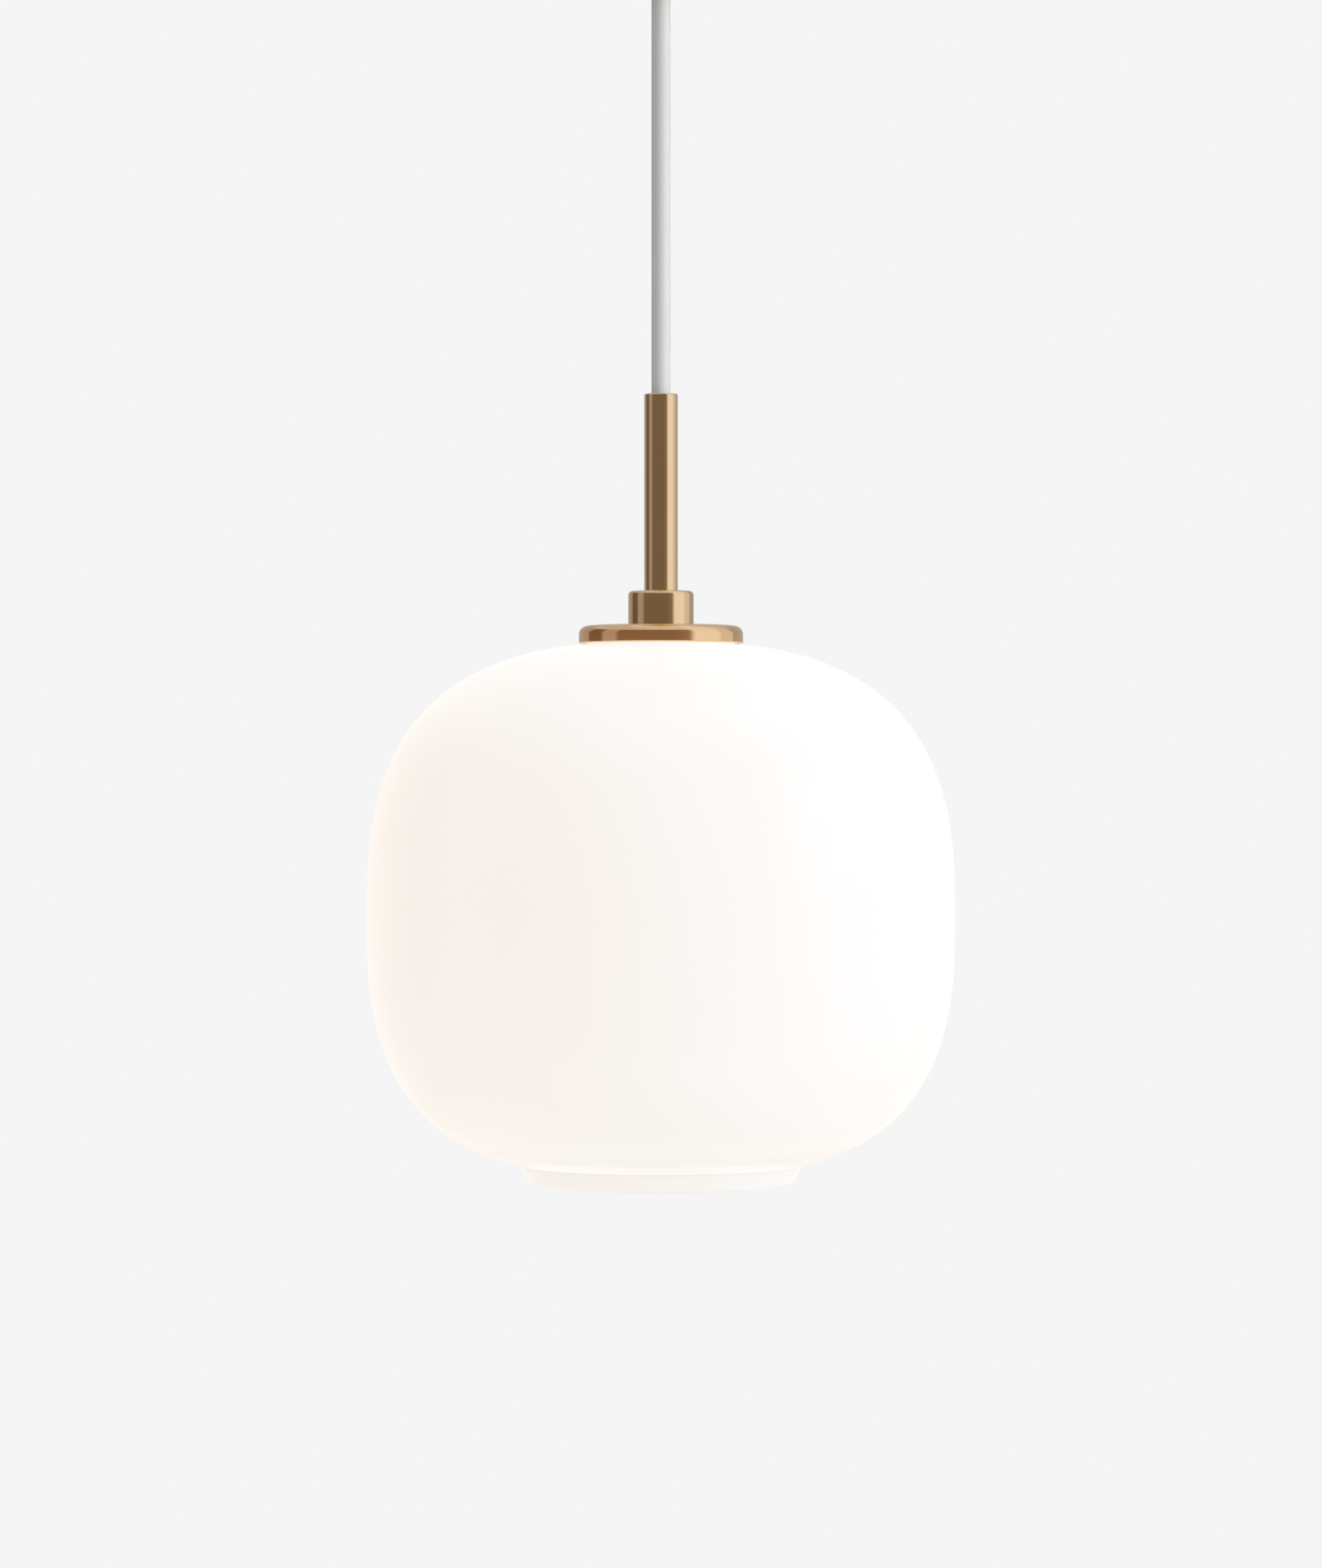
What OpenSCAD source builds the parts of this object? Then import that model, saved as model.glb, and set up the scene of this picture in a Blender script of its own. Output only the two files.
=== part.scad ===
// Pendant ceiling light: an opal glass shade clamped under a brass disc, on a brass stem and a
// round cord that hangs from a ceiling cup. All sizes are in millimetres.
// The origin is the middle of the ceiling face. +Z is up, and the light hangs below it.

/* [Ceiling bracket] */
// Thickness of the bracket's sheet steel
bracket_sheet = 1.5; // [1:0.1:2.5]
// Width of the bracket strip
bracket_w = 18; // [16:1:22]
// Depth of the down-turned ears
ear_drop = 15; // [13:0.5:20]
// Distance between the two ceiling slots
slot_spacing = 60; // [54:1:66]
// Length of each ceiling slot
slot_l = 12; // [8:0.5:16]
// Width of each ceiling slot
slot_w = 4.6; // [3.5:0.1:5.5]

/* [Terminal block] */
// Length of the block along its row of ways
block_l = 30; // [28:1:34]
// Width of the block along its wires
block_w = 17; // [15:1:20]
// Height of the block
block_h = 12; // [11:0.5:14]
// Distance between neighbouring ways
way_pitch = 10; // [9:0.5:11]
// Outer diameter of the brass tube in each way
way_tube_w = 4.4; // [4:0.1:5]
// Bore of the brass tube in each way
way_bore = 3; // [2.6:0.1:3.4]
// Diameter of the wire screws
way_screw_w = 2.6; // [2.2:0.1:3]
// Distance between the two wire screws of a way
way_screw_spacing = 9; // [8:0.5:10]
// Diameter of the screws that hold the block
block_screw_w = 2.8; // [2.4:0.1:3]
// Diameter of the earth screw
earth_screw_w = 4; // [3:0.5:5]
// Thickness of the washer under the earth screw's head
earth_washer_h = 0.8; // [0.5:0.1:1.2]
// Distance of the earth screw from the middle
earth_screw_x = 21.5; // [20.5:0.5:22]

/* [Canopy] */
// Outer diameter of the cup
canopy_w = 104; // [100:1:120]
// Height of the cup
canopy_h = 48; // [44:1:60]
// Wall of the cup
canopy_wall = 1.2; // [0.8:0.1:2]
// Radius of the cup's lower edge
canopy_round = 7; // [4:0.5:12]
// Gap between the cup's rim and the ceiling
canopy_gap = 0.5; // [0.2:0.1:1.5]
// Diameter of the two side screws
side_screw_w = 4; // [3:0.5:5]
// Distance of the side screws below the ceiling
side_screw_drop = 9.5; // [8.5:0.5:11]
// Diameter of a side screw's head
side_head_w = 8; // [7:0.5:10]
// Thickness of a side screw's head
side_head_h = 2.4; // [2:0.1:3.5]
// Size across flats of the captive nuts
side_nut_w = 7; // [6.5:0.5:8]
// Thickness of the captive nuts
side_nut_h = 3; // [2:0.1:3.5]

/* [Cord grip] */
// Diameter of the grip's nose where it meets the cup
grip_w = 14; // [13:0.5:16]
// Diameter of the grip's mouth
grip_mouth_w = 10.4; // [10:0.1:11]
// Length of the nose below the cup
grip_h = 9.5; // [8:0.5:12]
// Height of the nose's plain upper band
grip_band_h = 4.8; // [4.2:0.2:6]
// Height of the straight lip round the grip's mouth
grip_lip_h = 1.2; // [0.6:0.1:1.6]
// Diameter of the grip's threaded shank
grip_thread_w = 10; // [9:0.5:11]
// Length of the shank above the cup's floor
grip_shank = 9; // [7:0.5:12]
// Size across flats of the grip's nut
grip_nut_w = 14; // [13:0.5:16]
// Thickness of the grip's nut
grip_nut_h = 3; // [2:0.1:4]
// Diameter of the grub screws that clamp the cord
grub_w = 3; // [2.5:0.5:3.5]

/* [Cord and wires] */
// Diameter of the cord
cord_w = 5.7; // [5:0.1:5.9]
// Diameter of each insulated wire
wire_w = 2; // [1.6:0.1:2.1]
// Distance of each wire from the cord's middle
wire_offset = 1.4; // [1.2:0.05:1.5]
// Length of cord left above the grip's shank
cord_above_grip = 3; // [1:0.5:6]

/* [Stem] */
// Outer diameter of the stem
stem_w = 10; // [9.6:0.1:11]
// Bore of the stem
stem_bore = 8; // [7.4:0.1:8.4]
// Length of the stem that shows above the collar
stem_h = 58.8; // [40:0.2:120]
// Round of the stem's top edge
stem_round = 0.5; // [0.2:0.1:0.8]
// Distance of the cord clamp screw below the stem's top
stem_grub_drop = 14; // [12:0.5:18]
// Length of the bush in the stem's top
bush_h = 8; // [5:0.5:10]
// Diameter of the round collar
collar_w = 19.5; // [16:0.1:24]
// Height of the collar
collar_h = 10.4; // [8:0.1:14]
// Round of the collar's top edge
collar_round = 1.2; // [0.6:0.1:2]
// Diameter of the disc over the shade
disc_w = 49; // [46:0.5:56]
// Thickness of the disc
disc_h = 5.2; // [4.4:0.1:8]
// Round of the disc's top edge
disc_round = 2.6; // [1.5:0.1:3.5]
// Round of the disc's lower edge
disc_lower_round = 0.8; // [0.3:0.1:0.9]
// Thickness of the gasket between the disc and the shade
upper_gasket_h = 0.6; // [0.4:0.1:1.5]

/* [Shade] */
// Largest outer diameter of the shade
shade_w = 175; // [165:1:190]
// Wall of the glass
shade_wall = 3; // [2.5:0.1:4]
// Height of the flat top seat above the widest level
seat_rise = 81.7; // [78:0.1:82]
// Height at which the crown's curve would close above the widest level
crown_rise = 82.8; // [82.6:0.1:86]
// Depth at which the base's curve would close below the widest level
base_drop = 75.6; // [72:0.1:80]
// Squareness of the crown across
crown_across = 2.72; // [2.5:0.02:3]
// Squareness of the crown upwards
crown_up = 2.82; // [2.6:0.02:3.1]
// Squareness of the base across
base_across = 3.18; // [2.9:0.02:3.4]
// Squareness of the base downwards
base_down = 2.68; // [2.5:0.02:3]
// Diameter of the hole in the shade's top
shade_hole_w = 30; // [29.6:0.1:32]
// Diameter of the neck where it leaves the base
neck_w = 84.2; // [78:0.2:92]
// Outer diameter of the rim
rim_w = 78.8; // [74:0.2:84]
// Height of the neck
neck_h = 5.6; // [4:0.1:9]
// Round of the rim's outer edge
rim_round = 1.2; // [0.5:0.1:1.6]

/* [Shade fixing] */
// Thickness of the gasket under the shade's top
lower_gasket_h = 1; // [0.5:0.1:2]
// Diameter of both gaskets and of the clamp plate
plate_w = 44; // [42:0.5:46]
// Thickness of the clamp plate
plate_h = 1.2; // [0.8:0.1:2]
// Outer diameter of the shade ring's grip
ring_w = 38; // [36:0.5:41]
// Height of the shade ring
ring_h = 8; // [6:0.5:10]
// Diameter of the shade ring's flange
ring_flange_w = 42; // [41:0.5:44]
// Thickness of the shade ring's flange
ring_flange_h = 2; // [1.5:0.1:3]
// Number of grip grooves around the shade ring
ring_grooves = 24; // [16:1:30]
// Diameter of a grip groove
ring_groove_w = 2.4; // [1.6:0.1:2.8]

/* [Lampholder] */
// Outer diameter over the holder's thread
holder_w = 28; // [27:0.1:28.4]
// Depth of the holder's outer thread
holder_thread_depth = 0.5; // [0.3:0.05:0.7]
// Pitch of the holder's outer thread
holder_pitch = 2; // [1.5:0.25:2.5]
// Turns of the holder's outer thread
holder_turns = 15; // [12:1:18]
// Length of the holder
holder_h = 47.6; // [46:0.2:52]
// Wall of the holder's shell
holder_wall = 1.6; // [1.2:0.1:2]
// Thickness of the holder's top
holder_top = 3; // [2.5:0.1:4]
// Size across flats of the nut that locks the stem
lock_nut_w = 14; // [13:0.5:17]
// Thickness of the nut that locks the stem
lock_nut_h = 3.5; // [2.5:0.1:4.5]
// Thickness of the earth tag
earth_tag_h = 0.6; // [0.4:0.1:1]
// Length of stem left below its nut
stem_tail = 2.5; // [1.5:0.5:4]
// Height of the ceramic core
core_h = 26; // [25:0.5:27]
// Thickness of the core over its cavity
core_roof = 4; // [3:0.5:5]
// Diameter of the core's cavity
core_cavity_w = 16.8; // [16.4:0.1:18]
// Width of the core's retaining lip
lip_w = 0.5; // [0.3:0.1:1]
// Wall of the threaded contact shell
contact_wall = 0.4; // [0.3:0.05:0.5]
// Thickness of the contact strips
strip_t = 0.4; // [0.3:0.05:0.6]
// Width of the contact strips
strip_w = 3; // [2.5:0.5:4]
// Size of a holder terminal
terminal_w = 4.6; // [4:0.1:5]
// Height of a holder terminal
terminal_h = 5; // [4:0.1:5.5]

/* [Bulb] */
// Largest diameter of the bulb's screw cap
cap_w = 13.8; // [13.6:0.05:13.9]
// Depth of the cap's thread
cap_thread_depth = 0.7; // [0.5:0.05:0.8]
// Pitch of the cap's thread
cap_pitch = 2.82; // [2.6:0.02:3]
// Turns of the cap's thread
cap_turns = 5; // [4:1:6]
// Wall of the cap
cap_wall = 0.3; // [0.2:0.05:0.5]
// Height of the black insulator above the cap
insulator_h = 2.6; // [2:0.1:3.5]
// Height of the solder tip
tip_h = 1.2; // [0.8:0.1:1.6]
// Diameter of the globe
globe_w = 45; // [40:0.5:50]
// Length of the whole bulb
bulb_h = 79; // [76:0.5:86]
// Height of the bulb's housing below the cap
housing_h = 22; // [18:0.5:24]
// Wall of the housing and the globe
bulb_wall = 1.1; // [0.8:0.1:1.5]
// Thickness of the light board
led_board_h = 1.2; // [0.8:0.1:1.6]
// Number of light chips
led_count = 8; // [6:1:10]
// Diameter of the ring of light chips
led_ring_w = 22; // [18:0.5:24]

/* [Fits] */
// Gap around a thread in its nut or hole
thread_gap = 0.05; // [0.02:0.01:0.1]
// Gap around the cord in the grip and the bush
cord_gap = 0.15; // [0.1:0.05:0.3]
// Gap around a turning fit
run_gap = 0.05; // [0.03:0.01:0.1]
// Gap between parts that slide past each other
slide_gap = 0.15; // [0.1:0.05:0.3]
// Gap around the shade ring and its plate on the holder
ring_gap = 0.1; // [0.05:0.05:0.3]
// Gap between the ears and the cup
ear_gap = 1; // [0.5:0.1:2]
// Gap between the cap's thread and the contact shell
cap_gap = 0.15; // [0.1:0.05:0.3]
// Gap between the bulb's tip and the middle contact
tip_gap = 0.05; // [0.02:0.01:0.1]

/* [Hidden] */
$fn = 96;
eps = 0.01;            // overlap of a cutting tool past the face that it cuts
cord_sides = 12;
wire_sides = 8;
curve_step = 4.5;      // degrees of parameter between points of the shade's curve

// levels, from the ceiling down
ear_reach = sqrt(pow(canopy_w / 2 - canopy_wall - ear_gap, 2) - pow(bracket_w / 2, 2));
block_z = -bracket_sheet;
way_z = block_z - block_h * 0.5;
rim_z = -canopy_gap;
floor_z = rim_z - canopy_h + canopy_wall;
cup_z = rim_z - canopy_h;
mouth_z = cup_z - grip_h;
grip_screw_z = cup_z - grip_band_h / 2;
shank_z = floor_z + grip_shank;
head_z = shank_z + cord_above_grip;

// The cord's route, from the grip's mouth to the stem's top: a taut, straight line
cord_route = [[0, 0, 0], [0, 0, -6], [0, 0, -12], [0, 0, -20], [0, 0, -30], [0, 0, -40],
    [0, 0, -50], [0, 0, -60], [0, 0, -70], [0, 0, -80], [0, 0, -90], [0, 0, -100], [0, 0, -108],
    [0, 0, -115], [0, 0, -121], [0, 0, -126]];
stem_z = mouth_z + cord_route[len(cord_route) - 1].z;

collar_z = stem_z - stem_h;
disc_z = collar_z - collar_h;
disc_under_z = disc_z - disc_h;
seat_z = disc_under_z - upper_gasket_h;
wide_z = seat_z - seat_rise;
under_seat_z = seat_z - shade_wall;
plate_z = under_seat_z - lower_gasket_h;
ring_z = plate_z - plate_h;
holder_roof_z = disc_under_z - holder_top;
lock_nut_z = holder_roof_z - earth_tag_h;
stem_end_z = lock_nut_z - lock_nut_h - stem_tail;
holder_end_z = disc_under_z - holder_h;
lip_h = 2;             // height of the holder's retaining lip
core_end_z = holder_end_z + lip_h;
core_z = core_end_z + core_h;
cavity_z = core_z - core_roof;
middle_drop = 0.6;     // the middle contact hangs this far below the core's roof
tip_z = cavity_z - middle_drop - strip_t - tip_gap;
insulator_z = tip_z - tip_h;
cap_z = insulator_z - insulator_h;
cap_h = cap_turns * cap_pitch + 4.9;   // the plain skirt below the thread is 4.9 long
housing_z = cap_z - cap_h;
globe_z = housing_z - housing_h;
bulb_end_z = tip_z - bulb_h;
globe_mid_z = bulb_end_z + globe_w / 2;

// radii that several pieces share
ear_x = ear_reach;
holder_in_r = holder_w / 2 - holder_thread_depth - holder_wall;
core_r = holder_in_r - run_gap;
contact_in_r = cap_w / 2 + cap_gap;
contact_r = contact_in_r + cap_thread_depth * 0.5 + contact_wall;
globe_cut_r = sqrt(pow(globe_w / 2, 2) - pow(globe_z - globe_mid_z, 2));
chip_h = 0.8;          // height of a light chip
board_z = globe_z + chip_h + led_board_h + 0.2;   // top of the board, its chips clear of the globe
cap_plain_r = cap_w / 2 - cap_thread_depth;
housing_top_r = cap_plain_r + 0.6;
housing_bend_z = housing_z - housing_h * 0.55;
housing_bend_r = housing_top_r + (globe_cut_r - housing_top_r) * 0.62;
board_hole_r = globe_cut_r - bulb_wall
    + (housing_bend_r - globe_cut_r) * (board_z - globe_z) / (housing_bend_z - globe_z);
board_r = board_hole_r - run_gap;
terminal_x = 7.5;      // distance of each holder terminal from the middle

// ---------- shapes that repeat ----------

// Tube of round section along a list of points, as one closed polyhedron
function unit(v) = v / norm(v);
function tangent(p, i) = unit(p[min(i + 1, len(p) - 1)] - p[max(i - 1, 0)]);
function carried(n, t) = unit(n - (n * t) * t);
function normals(p, i, n) = i == len(p) ? [] :
    let (m = carried(n, tangent(p, i))) concat([m], normals(p, i + 1, m));
module swept_tube(p, r, sides, start_normal = [1, 0, 0]) {
    ns = normals(p, 0, start_normal);
    rings = [for (i = [0:len(p) - 1], k = [0:sides - 1])
        let (t = tangent(p, i), b = cross(t, ns[i]), a = 360 * k / sides)
            p[i] + r * (cos(a) * ns[i] + sin(a) * b)];
    last = (len(p) - 1) * sides;
    walls = [for (i = [0:len(p) - 2], k = [0:sides - 1])
        [i * sides + k, (i + 1) * sides + k,
            (i + 1) * sides + (k + 1) % sides, i * sides + (k + 1) % sides]];
    polyhedron(rings, concat([[for (k = [0:sides - 1]) k]], walls,
        [[for (k = [sides - 1:-1:0]) last + k]]));
}

// Points that round off the corners between the ends of a route, on one smooth curve
function smooth(p, n) = [for (i = [0:len(p) - 2], k = [0:n - 1])
    let (a = p[max(i - 1, 0)], b = p[i], c = p[i + 1], d = p[min(i + 2, len(p) - 1)], t = k / n)
        0.5 * (2 * b + (c - a) * t + (2 * a - 5 * b + 4 * c - d) * t * t
            + (3 * b - a - 3 * c + d) * t * t * t)];
function route(p, n) = concat(smooth(p, n), [p[len(p) - 1]]);

// Disc or tube whose outer top edge is rounded by r_top and lower edge by r_low, from z0 up to z1
module turned(r, bore_r, z0, z1, r_top, r_low) {
    rotate_extrude() intersection() {
        union() {
            translate([0, z0 + r_low]) square([r, z1 - z0 - r_top - r_low]);
            translate([0, z0]) square([r - max(r_top, r_low), z1 - z0]);
            translate([0, z0]) square([r - r_low, r_low]);
            translate([r - r_top, z1 - r_top]) circle(r_top);
            translate([r - r_low, z0 + r_low]) circle(r_low);
        }
        translate([bore_r, z0]) square([r - bore_r, z1 - z0]);
    }
}

// Plain washer from z0 up to z1
module washer(r, bore_r, z0, z1) {
    difference() {
        translate([0, 0, z0]) cylinder(r = r, h = z1 - z0);
        translate([0, 0, z0 - 1]) cylinder(r = bore_r, h = z1 - z0 + 2);
    }
}

// Hexagon nut from z0 up to z1
module hex_nut(flats, bore_r, z0, z1) {
    difference() {
        translate([0, 0, z0]) cylinder(r = flats / sqrt(3), h = z1 - z0, $fn = 6);
        translate([0, 0, z0 - 1]) cylinder(r = bore_r, h = z1 - z0 + 2);
    }
}

// Screw with a slotted head, its shank along +Z from the head's seat at the origin
module slotted_screw(shank_r, shank_h, head_r, head_h) {
    difference() {
        union() {
            translate([0, 0, -eps]) cylinder(r = shank_r, h = shank_h + eps);
            translate([0, 0, -head_h]) cylinder(r = head_r, h = head_h);
        }
        translate([-head_r - 1, -head_r * 0.15, -head_h - 1])
            cube([2 * head_r + 2, head_r * 0.3, 1 + head_h * 0.45]);
    }
}

// Ridges of a thread, as rings: points of an outline from z0 down, between radii r_low and r_high
function ridges(r_low, r_high, z0, pitch, turns) =
    [for (i = [0:2 * turns]) [i % 2 == 0 ? r_low : r_high, z0 - i * pitch / 2]];

// ---------- ceiling bracket and terminal block ----------

module ceiling_bracket() {
    color("silver") difference() {
        union() {
            translate([-ear_x, -bracket_w / 2, -bracket_sheet])
                cube([2 * ear_x, bracket_w, bracket_sheet]);
            for (side = [-1, 1]) {
                translate([side * (ear_x - bracket_sheet / 2), 0, -ear_drop / 2])
                    cube([bracket_sheet, bracket_w, ear_drop], center = true);
            }
        }
        for (side = [-1, 1]) {
            // ceiling slot
            translate([side * slot_spacing / 2, 0, -bracket_sheet - 1]) linear_extrude(bracket_sheet + 2) {
                square([slot_l - slot_w, slot_w], center = true);
                for (end = [-1, 1]) {
                    translate([end * (slot_l - slot_w) / 2, 0]) circle(slot_w / 2);
                }
            }
            // open slot for the side screw
            translate([side * (ear_x - bracket_sheet / 2), 0, -side_screw_drop]) {
                rotate([0, 90, 0])
                    cylinder(r = side_screw_w / 2 + slide_gap, h = bracket_sheet + 2, center = true);
                translate([0, 0, -ear_drop / 2])
                    cube([bracket_sheet + 2, side_screw_w + 2 * slide_gap, ear_drop], center = true);
            }
            // block screws
            translate([side * way_pitch / 2, 0, -bracket_sheet - 1])
                cylinder(r = block_screw_w / 2 + thread_gap, h = bracket_sheet + 2);
        }
        translate([-earth_screw_x, 0, -bracket_sheet - 1])
            cylinder(r = earth_screw_w / 2 + thread_gap, h = bracket_sheet + 2);
    }
}

module at_ways() {
    for (i = [-1, 0, 1]) {
        translate([i * way_pitch, 0, way_z]) children();
    }
}

module terminal_block() {
    lobe_r = way_tube_w / 2 + 1.7;      // the plastic round each tube is 1.7 thick
    turret_r = way_screw_w / 2 + 1.2;   // and 1.2 round each screw hole
    color("ivory") difference() {
        union() {
            translate([-block_l / 2, -block_w / 2, way_z]) cube([block_l, block_w, block_z - way_z]);
            at_ways() {
                rotate([90, 0, 0]) cylinder(r = lobe_r, h = block_w, center = true);
                for (end = [-1, 1]) {
                    translate([0, end * way_screw_spacing / 2, -block_h / 2])
                        cylinder(r = turret_r, h = block_h / 2);
                }
            }
        }
        at_ways() {
            rotate([90, 0, 0]) cylinder(r = way_tube_w / 2, h = block_w + 2, center = true);
            for (end = [-1, 1]) {
                translate([0, end * way_screw_spacing / 2, -block_h])
                    cylinder(r = way_screw_w / 2 + slide_gap, h = block_h);
            }
        }
        for (side = [-1, 1]) {
            translate([side * way_pitch / 2, 0, way_z - block_h]) {
                cylinder(r = block_screw_w / 2 + slide_gap, h = 2 * block_h);
                cylinder(r = block_screw_w + slide_gap, h = block_h + 2);
            }
        }
    }
}

module terminal_tubes() {
    color("gold") at_ways() {
        difference() {
            rotate([90, 0, 0]) cylinder(r = way_tube_w / 2, h = block_w - 2, center = true);
            rotate([90, 0, 0]) cylinder(r = way_bore / 2, h = block_w, center = true);
            for (end = [-1, 1]) {
                translate([0, end * way_screw_spacing / 2, -way_tube_w])
                    cylinder(r = way_screw_w / 2 + thread_gap, h = way_tube_w);
            }
        }
    }
}

module terminal_screws() {
    length = block_h / 2 - 1.2 - wire_w / 2 - 0.05;   // the heads sit 1.2 inside the turrets
    color("silver") at_ways() {
        for (end = [-1, 1]) {
            translate([0, end * way_screw_spacing / 2, -wire_w / 2 - 0.05 - length])
                difference() {
                    cylinder(r = way_screw_w / 2, h = length);
                    translate([-way_screw_w, -0.25, -1]) cube([2 * way_screw_w, 0.5, 1.8]);
                }
        }
    }
}

module block_screws() {
    for (side = [-1, 1]) {
        translate([side * way_pitch / 2, 0, way_z + 2])
            color("silver") slotted_screw(block_screw_w / 2, -way_z - 2 - 0.2, block_screw_w, 1.6);
    }
}

module earth_washer() {
    color("gold") translate([-earth_screw_x, 0, 0])
        washer(earth_screw_w, earth_screw_w / 2 + thread_gap,
            -bracket_sheet - earth_washer_h, -bracket_sheet);
}

module earth_screw() {
    color("gold") translate([-earth_screw_x, 0, -bracket_sheet - earth_washer_h])
        slotted_screw(earth_screw_w / 2, bracket_sheet + earth_washer_h - 0.2,
            earth_screw_w * 0.9, earth_screw_w * 0.6);
}

// ---------- wires in the canopy ----------

// The three wires leave the cord at these angles
live_angle = 210;
neutral_angle = 330;
earth_angle = 90;
function beside(angle, z) = [wire_offset * cos(angle), wire_offset * sin(angle), z];
// The first straight bit of a wire that leaves the cord's end at height z, upwards or downwards
function leaving(angle, z, way) = [for (d = [0, 0.6, 1.2]) beside(angle, z + way * d * wire_w)];
// A point in the cup, as shares of its radius and of the height from the cord's end to the ways
function in_cup(x, y, up) =
    [x * canopy_w / 2, y * canopy_w / 2, head_z + up * (way_z - head_z)];
// The last bit of a wire, level into way i of the block
function into_way(i) = [for (back = [0.8, 0.35, 0])
    [i * way_pitch, -way_screw_spacing / 2 - back * block_w, way_z]];

module live_wire() {
    middle = [in_cup(-0.06, -0.06, 0.18), in_cup(-0.14, -0.2, 0.32), in_cup(-0.23, -0.42, 0.29),
        in_cup(-0.29, -0.61, 0.5), in_cup(-0.23, -0.61, 0.83)];
    color("saddlebrown") swept_tube(route(concat(leaving(live_angle, head_z, 1), middle,
        into_way(-1)), 3), wire_w / 2, wire_sides);
}

module neutral_wire() {
    middle = [in_cup(0.06, -0.06, 0.18), in_cup(0.1, -0.21, 0.29), in_cup(0.12, -0.42, 0.15),
        in_cup(0.08, -0.63, 0.32), in_cup(0.02, -0.65, 0.72)];
    color("royalblue") swept_tube(route(concat(leaving(neutral_angle, head_z, 1), middle,
        into_way(0)), 3), wire_w / 2, wire_sides);
}

module earth_wire() {
    middle = [in_cup(-0.04, 0.08, 0.18), in_cup(-0.15, 0.17, 0.32), in_cup(-0.35, 0.35, 0.36),
        in_cup(-0.54, 0.35, 0.58), in_cup(-0.6, 0.19, 0.86)];
    washer_z = -bracket_sheet - earth_washer_h;
    color("yellowgreen") swept_tube(route(concat(leaving(earth_angle, head_z, 1), middle,
        [[-earth_screw_x - 2 * earth_screw_w, wire_w * 1.5, washer_z - wire_w * 1.2],
            [-earth_screw_x - earth_screw_w, 0, washer_z - wire_w / 2]]), 3),
        wire_w / 2, wire_sides);
}

// ---------- canopy ----------

module cup_outline(wall) {
    r = canopy_w / 2 - wall;
    z = cup_z + wall;
    edge = canopy_round - wall;
    translate([0, z]) square([r - edge, rim_z - z + (wall > 0 ? 1 : 0)]);
    translate([0, z + edge]) square([r, rim_z - z - edge + (wall > 0 ? 1 : 0)]);
    translate([r - edge, z + edge]) circle(edge);
}

module canopy_cup() {
    color("peru") difference() {
        rotate_extrude() difference() {
            cup_outline(0);
            cup_outline(canopy_wall);
            translate([-canopy_w, cup_z - 1]) square([canopy_w, canopy_h + 2]);
        }
        translate([0, 0, cup_z - 1]) cylinder(r = grip_thread_w / 2 + thread_gap, h = canopy_wall + 2);
        translate([0, 0, -side_screw_drop]) rotate([0, 90, 0])
            cylinder(r = side_screw_w / 2 + slide_gap, h = canopy_w + 2, center = true);
    }
}

module at_sides() {
    for (side = [0, 180]) {
        rotate([0, 0, side]) translate([0, 0, -side_screw_drop]) children();
    }
}

module canopy_screws() {
    seat_x = canopy_w / 2;
    shank = seat_x - ear_x + bracket_sheet + slide_gap + side_nut_h + 0.5;
    color("peru") at_sides() {
        translate([seat_x - shank, 0, 0]) rotate([0, 90, 0])
            cylinder(r = side_screw_w / 2, h = shank + eps);
        translate([seat_x, 0, 0]) rotate([0, 90, 0]) cylinder(r = side_head_w / 2, h = side_head_h);
    }
}

module canopy_nuts() {
    nut_x = ear_x - bracket_sheet - slide_gap;
    color("silver") at_sides() {
        translate([nut_x, 0, 0]) rotate([0, -90, 0])
            hex_nut(side_nut_w, side_screw_w / 2 + thread_gap, 0, side_nut_h);
    }
}

// ---------- cord grip ----------

module cord_grip() {
    bore_r = cord_w / 2 + cord_gap;
    color("peru") difference() {
        rotate_extrude() polygon([[bore_r, shank_z], [grip_thread_w / 2, shank_z],
            [grip_thread_w / 2, cup_z], [grip_w / 2, cup_z], [grip_w / 2, cup_z - grip_band_h],
            [grip_mouth_w / 2, mouth_z + grip_lip_h], [grip_mouth_w / 2, mouth_z], [bore_r, mouth_z]]);
        translate([0, 0, grip_screw_z]) rotate([-90, 0, 0])
            cylinder(r = grub_w / 2 + thread_gap, h = grip_w);
    }
}

module cord_grip_nut() {
    color("silver") hex_nut(grip_nut_w, grip_thread_w / 2 + thread_gap, floor_z, floor_z + grip_nut_h);
}

// Grub screw that bears on the cord from behind, its outer end at distance reach
module grub_screw(reach, z) {
    translate([0, cord_w / 2, z]) rotate([-90, 0, 0]) difference() {
        cylinder(r = grub_w / 2, h = reach - cord_w / 2);
        translate([-grub_w, -0.25, reach - cord_w / 2 - 0.7]) cube([2 * grub_w, 0.5, 2]);
    }
}

module cord_grip_screw() {
    color("silver") grub_screw(grip_w / 2 - 0.6, grip_screw_z);
}

// ---------- cord ----------

module cord_head() {
    color("whitesmoke") translate([0, 0, mouth_z]) cylinder(r = cord_w / 2, h = head_z - mouth_z);
}

module cord() {
    color("whitesmoke") swept_tube([for (p = cord_route) p + [0, 0, mouth_z]], cord_w / 2, cord_sides);
}

module cord_tail() {
    color("whitesmoke") translate([0, 0, disc_under_z])
        cylinder(r = cord_w / 2, h = stem_z - disc_under_z);
}

// ---------- stem, collar and disc ----------

module stem_bush() {
    top = stem_z - 0.3;  // the bush sits just inside the stem's mouth
    color("whitesmoke")
        washer(stem_bore / 2 - run_gap, cord_w / 2 + cord_gap, top - bush_h, top);
}

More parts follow.
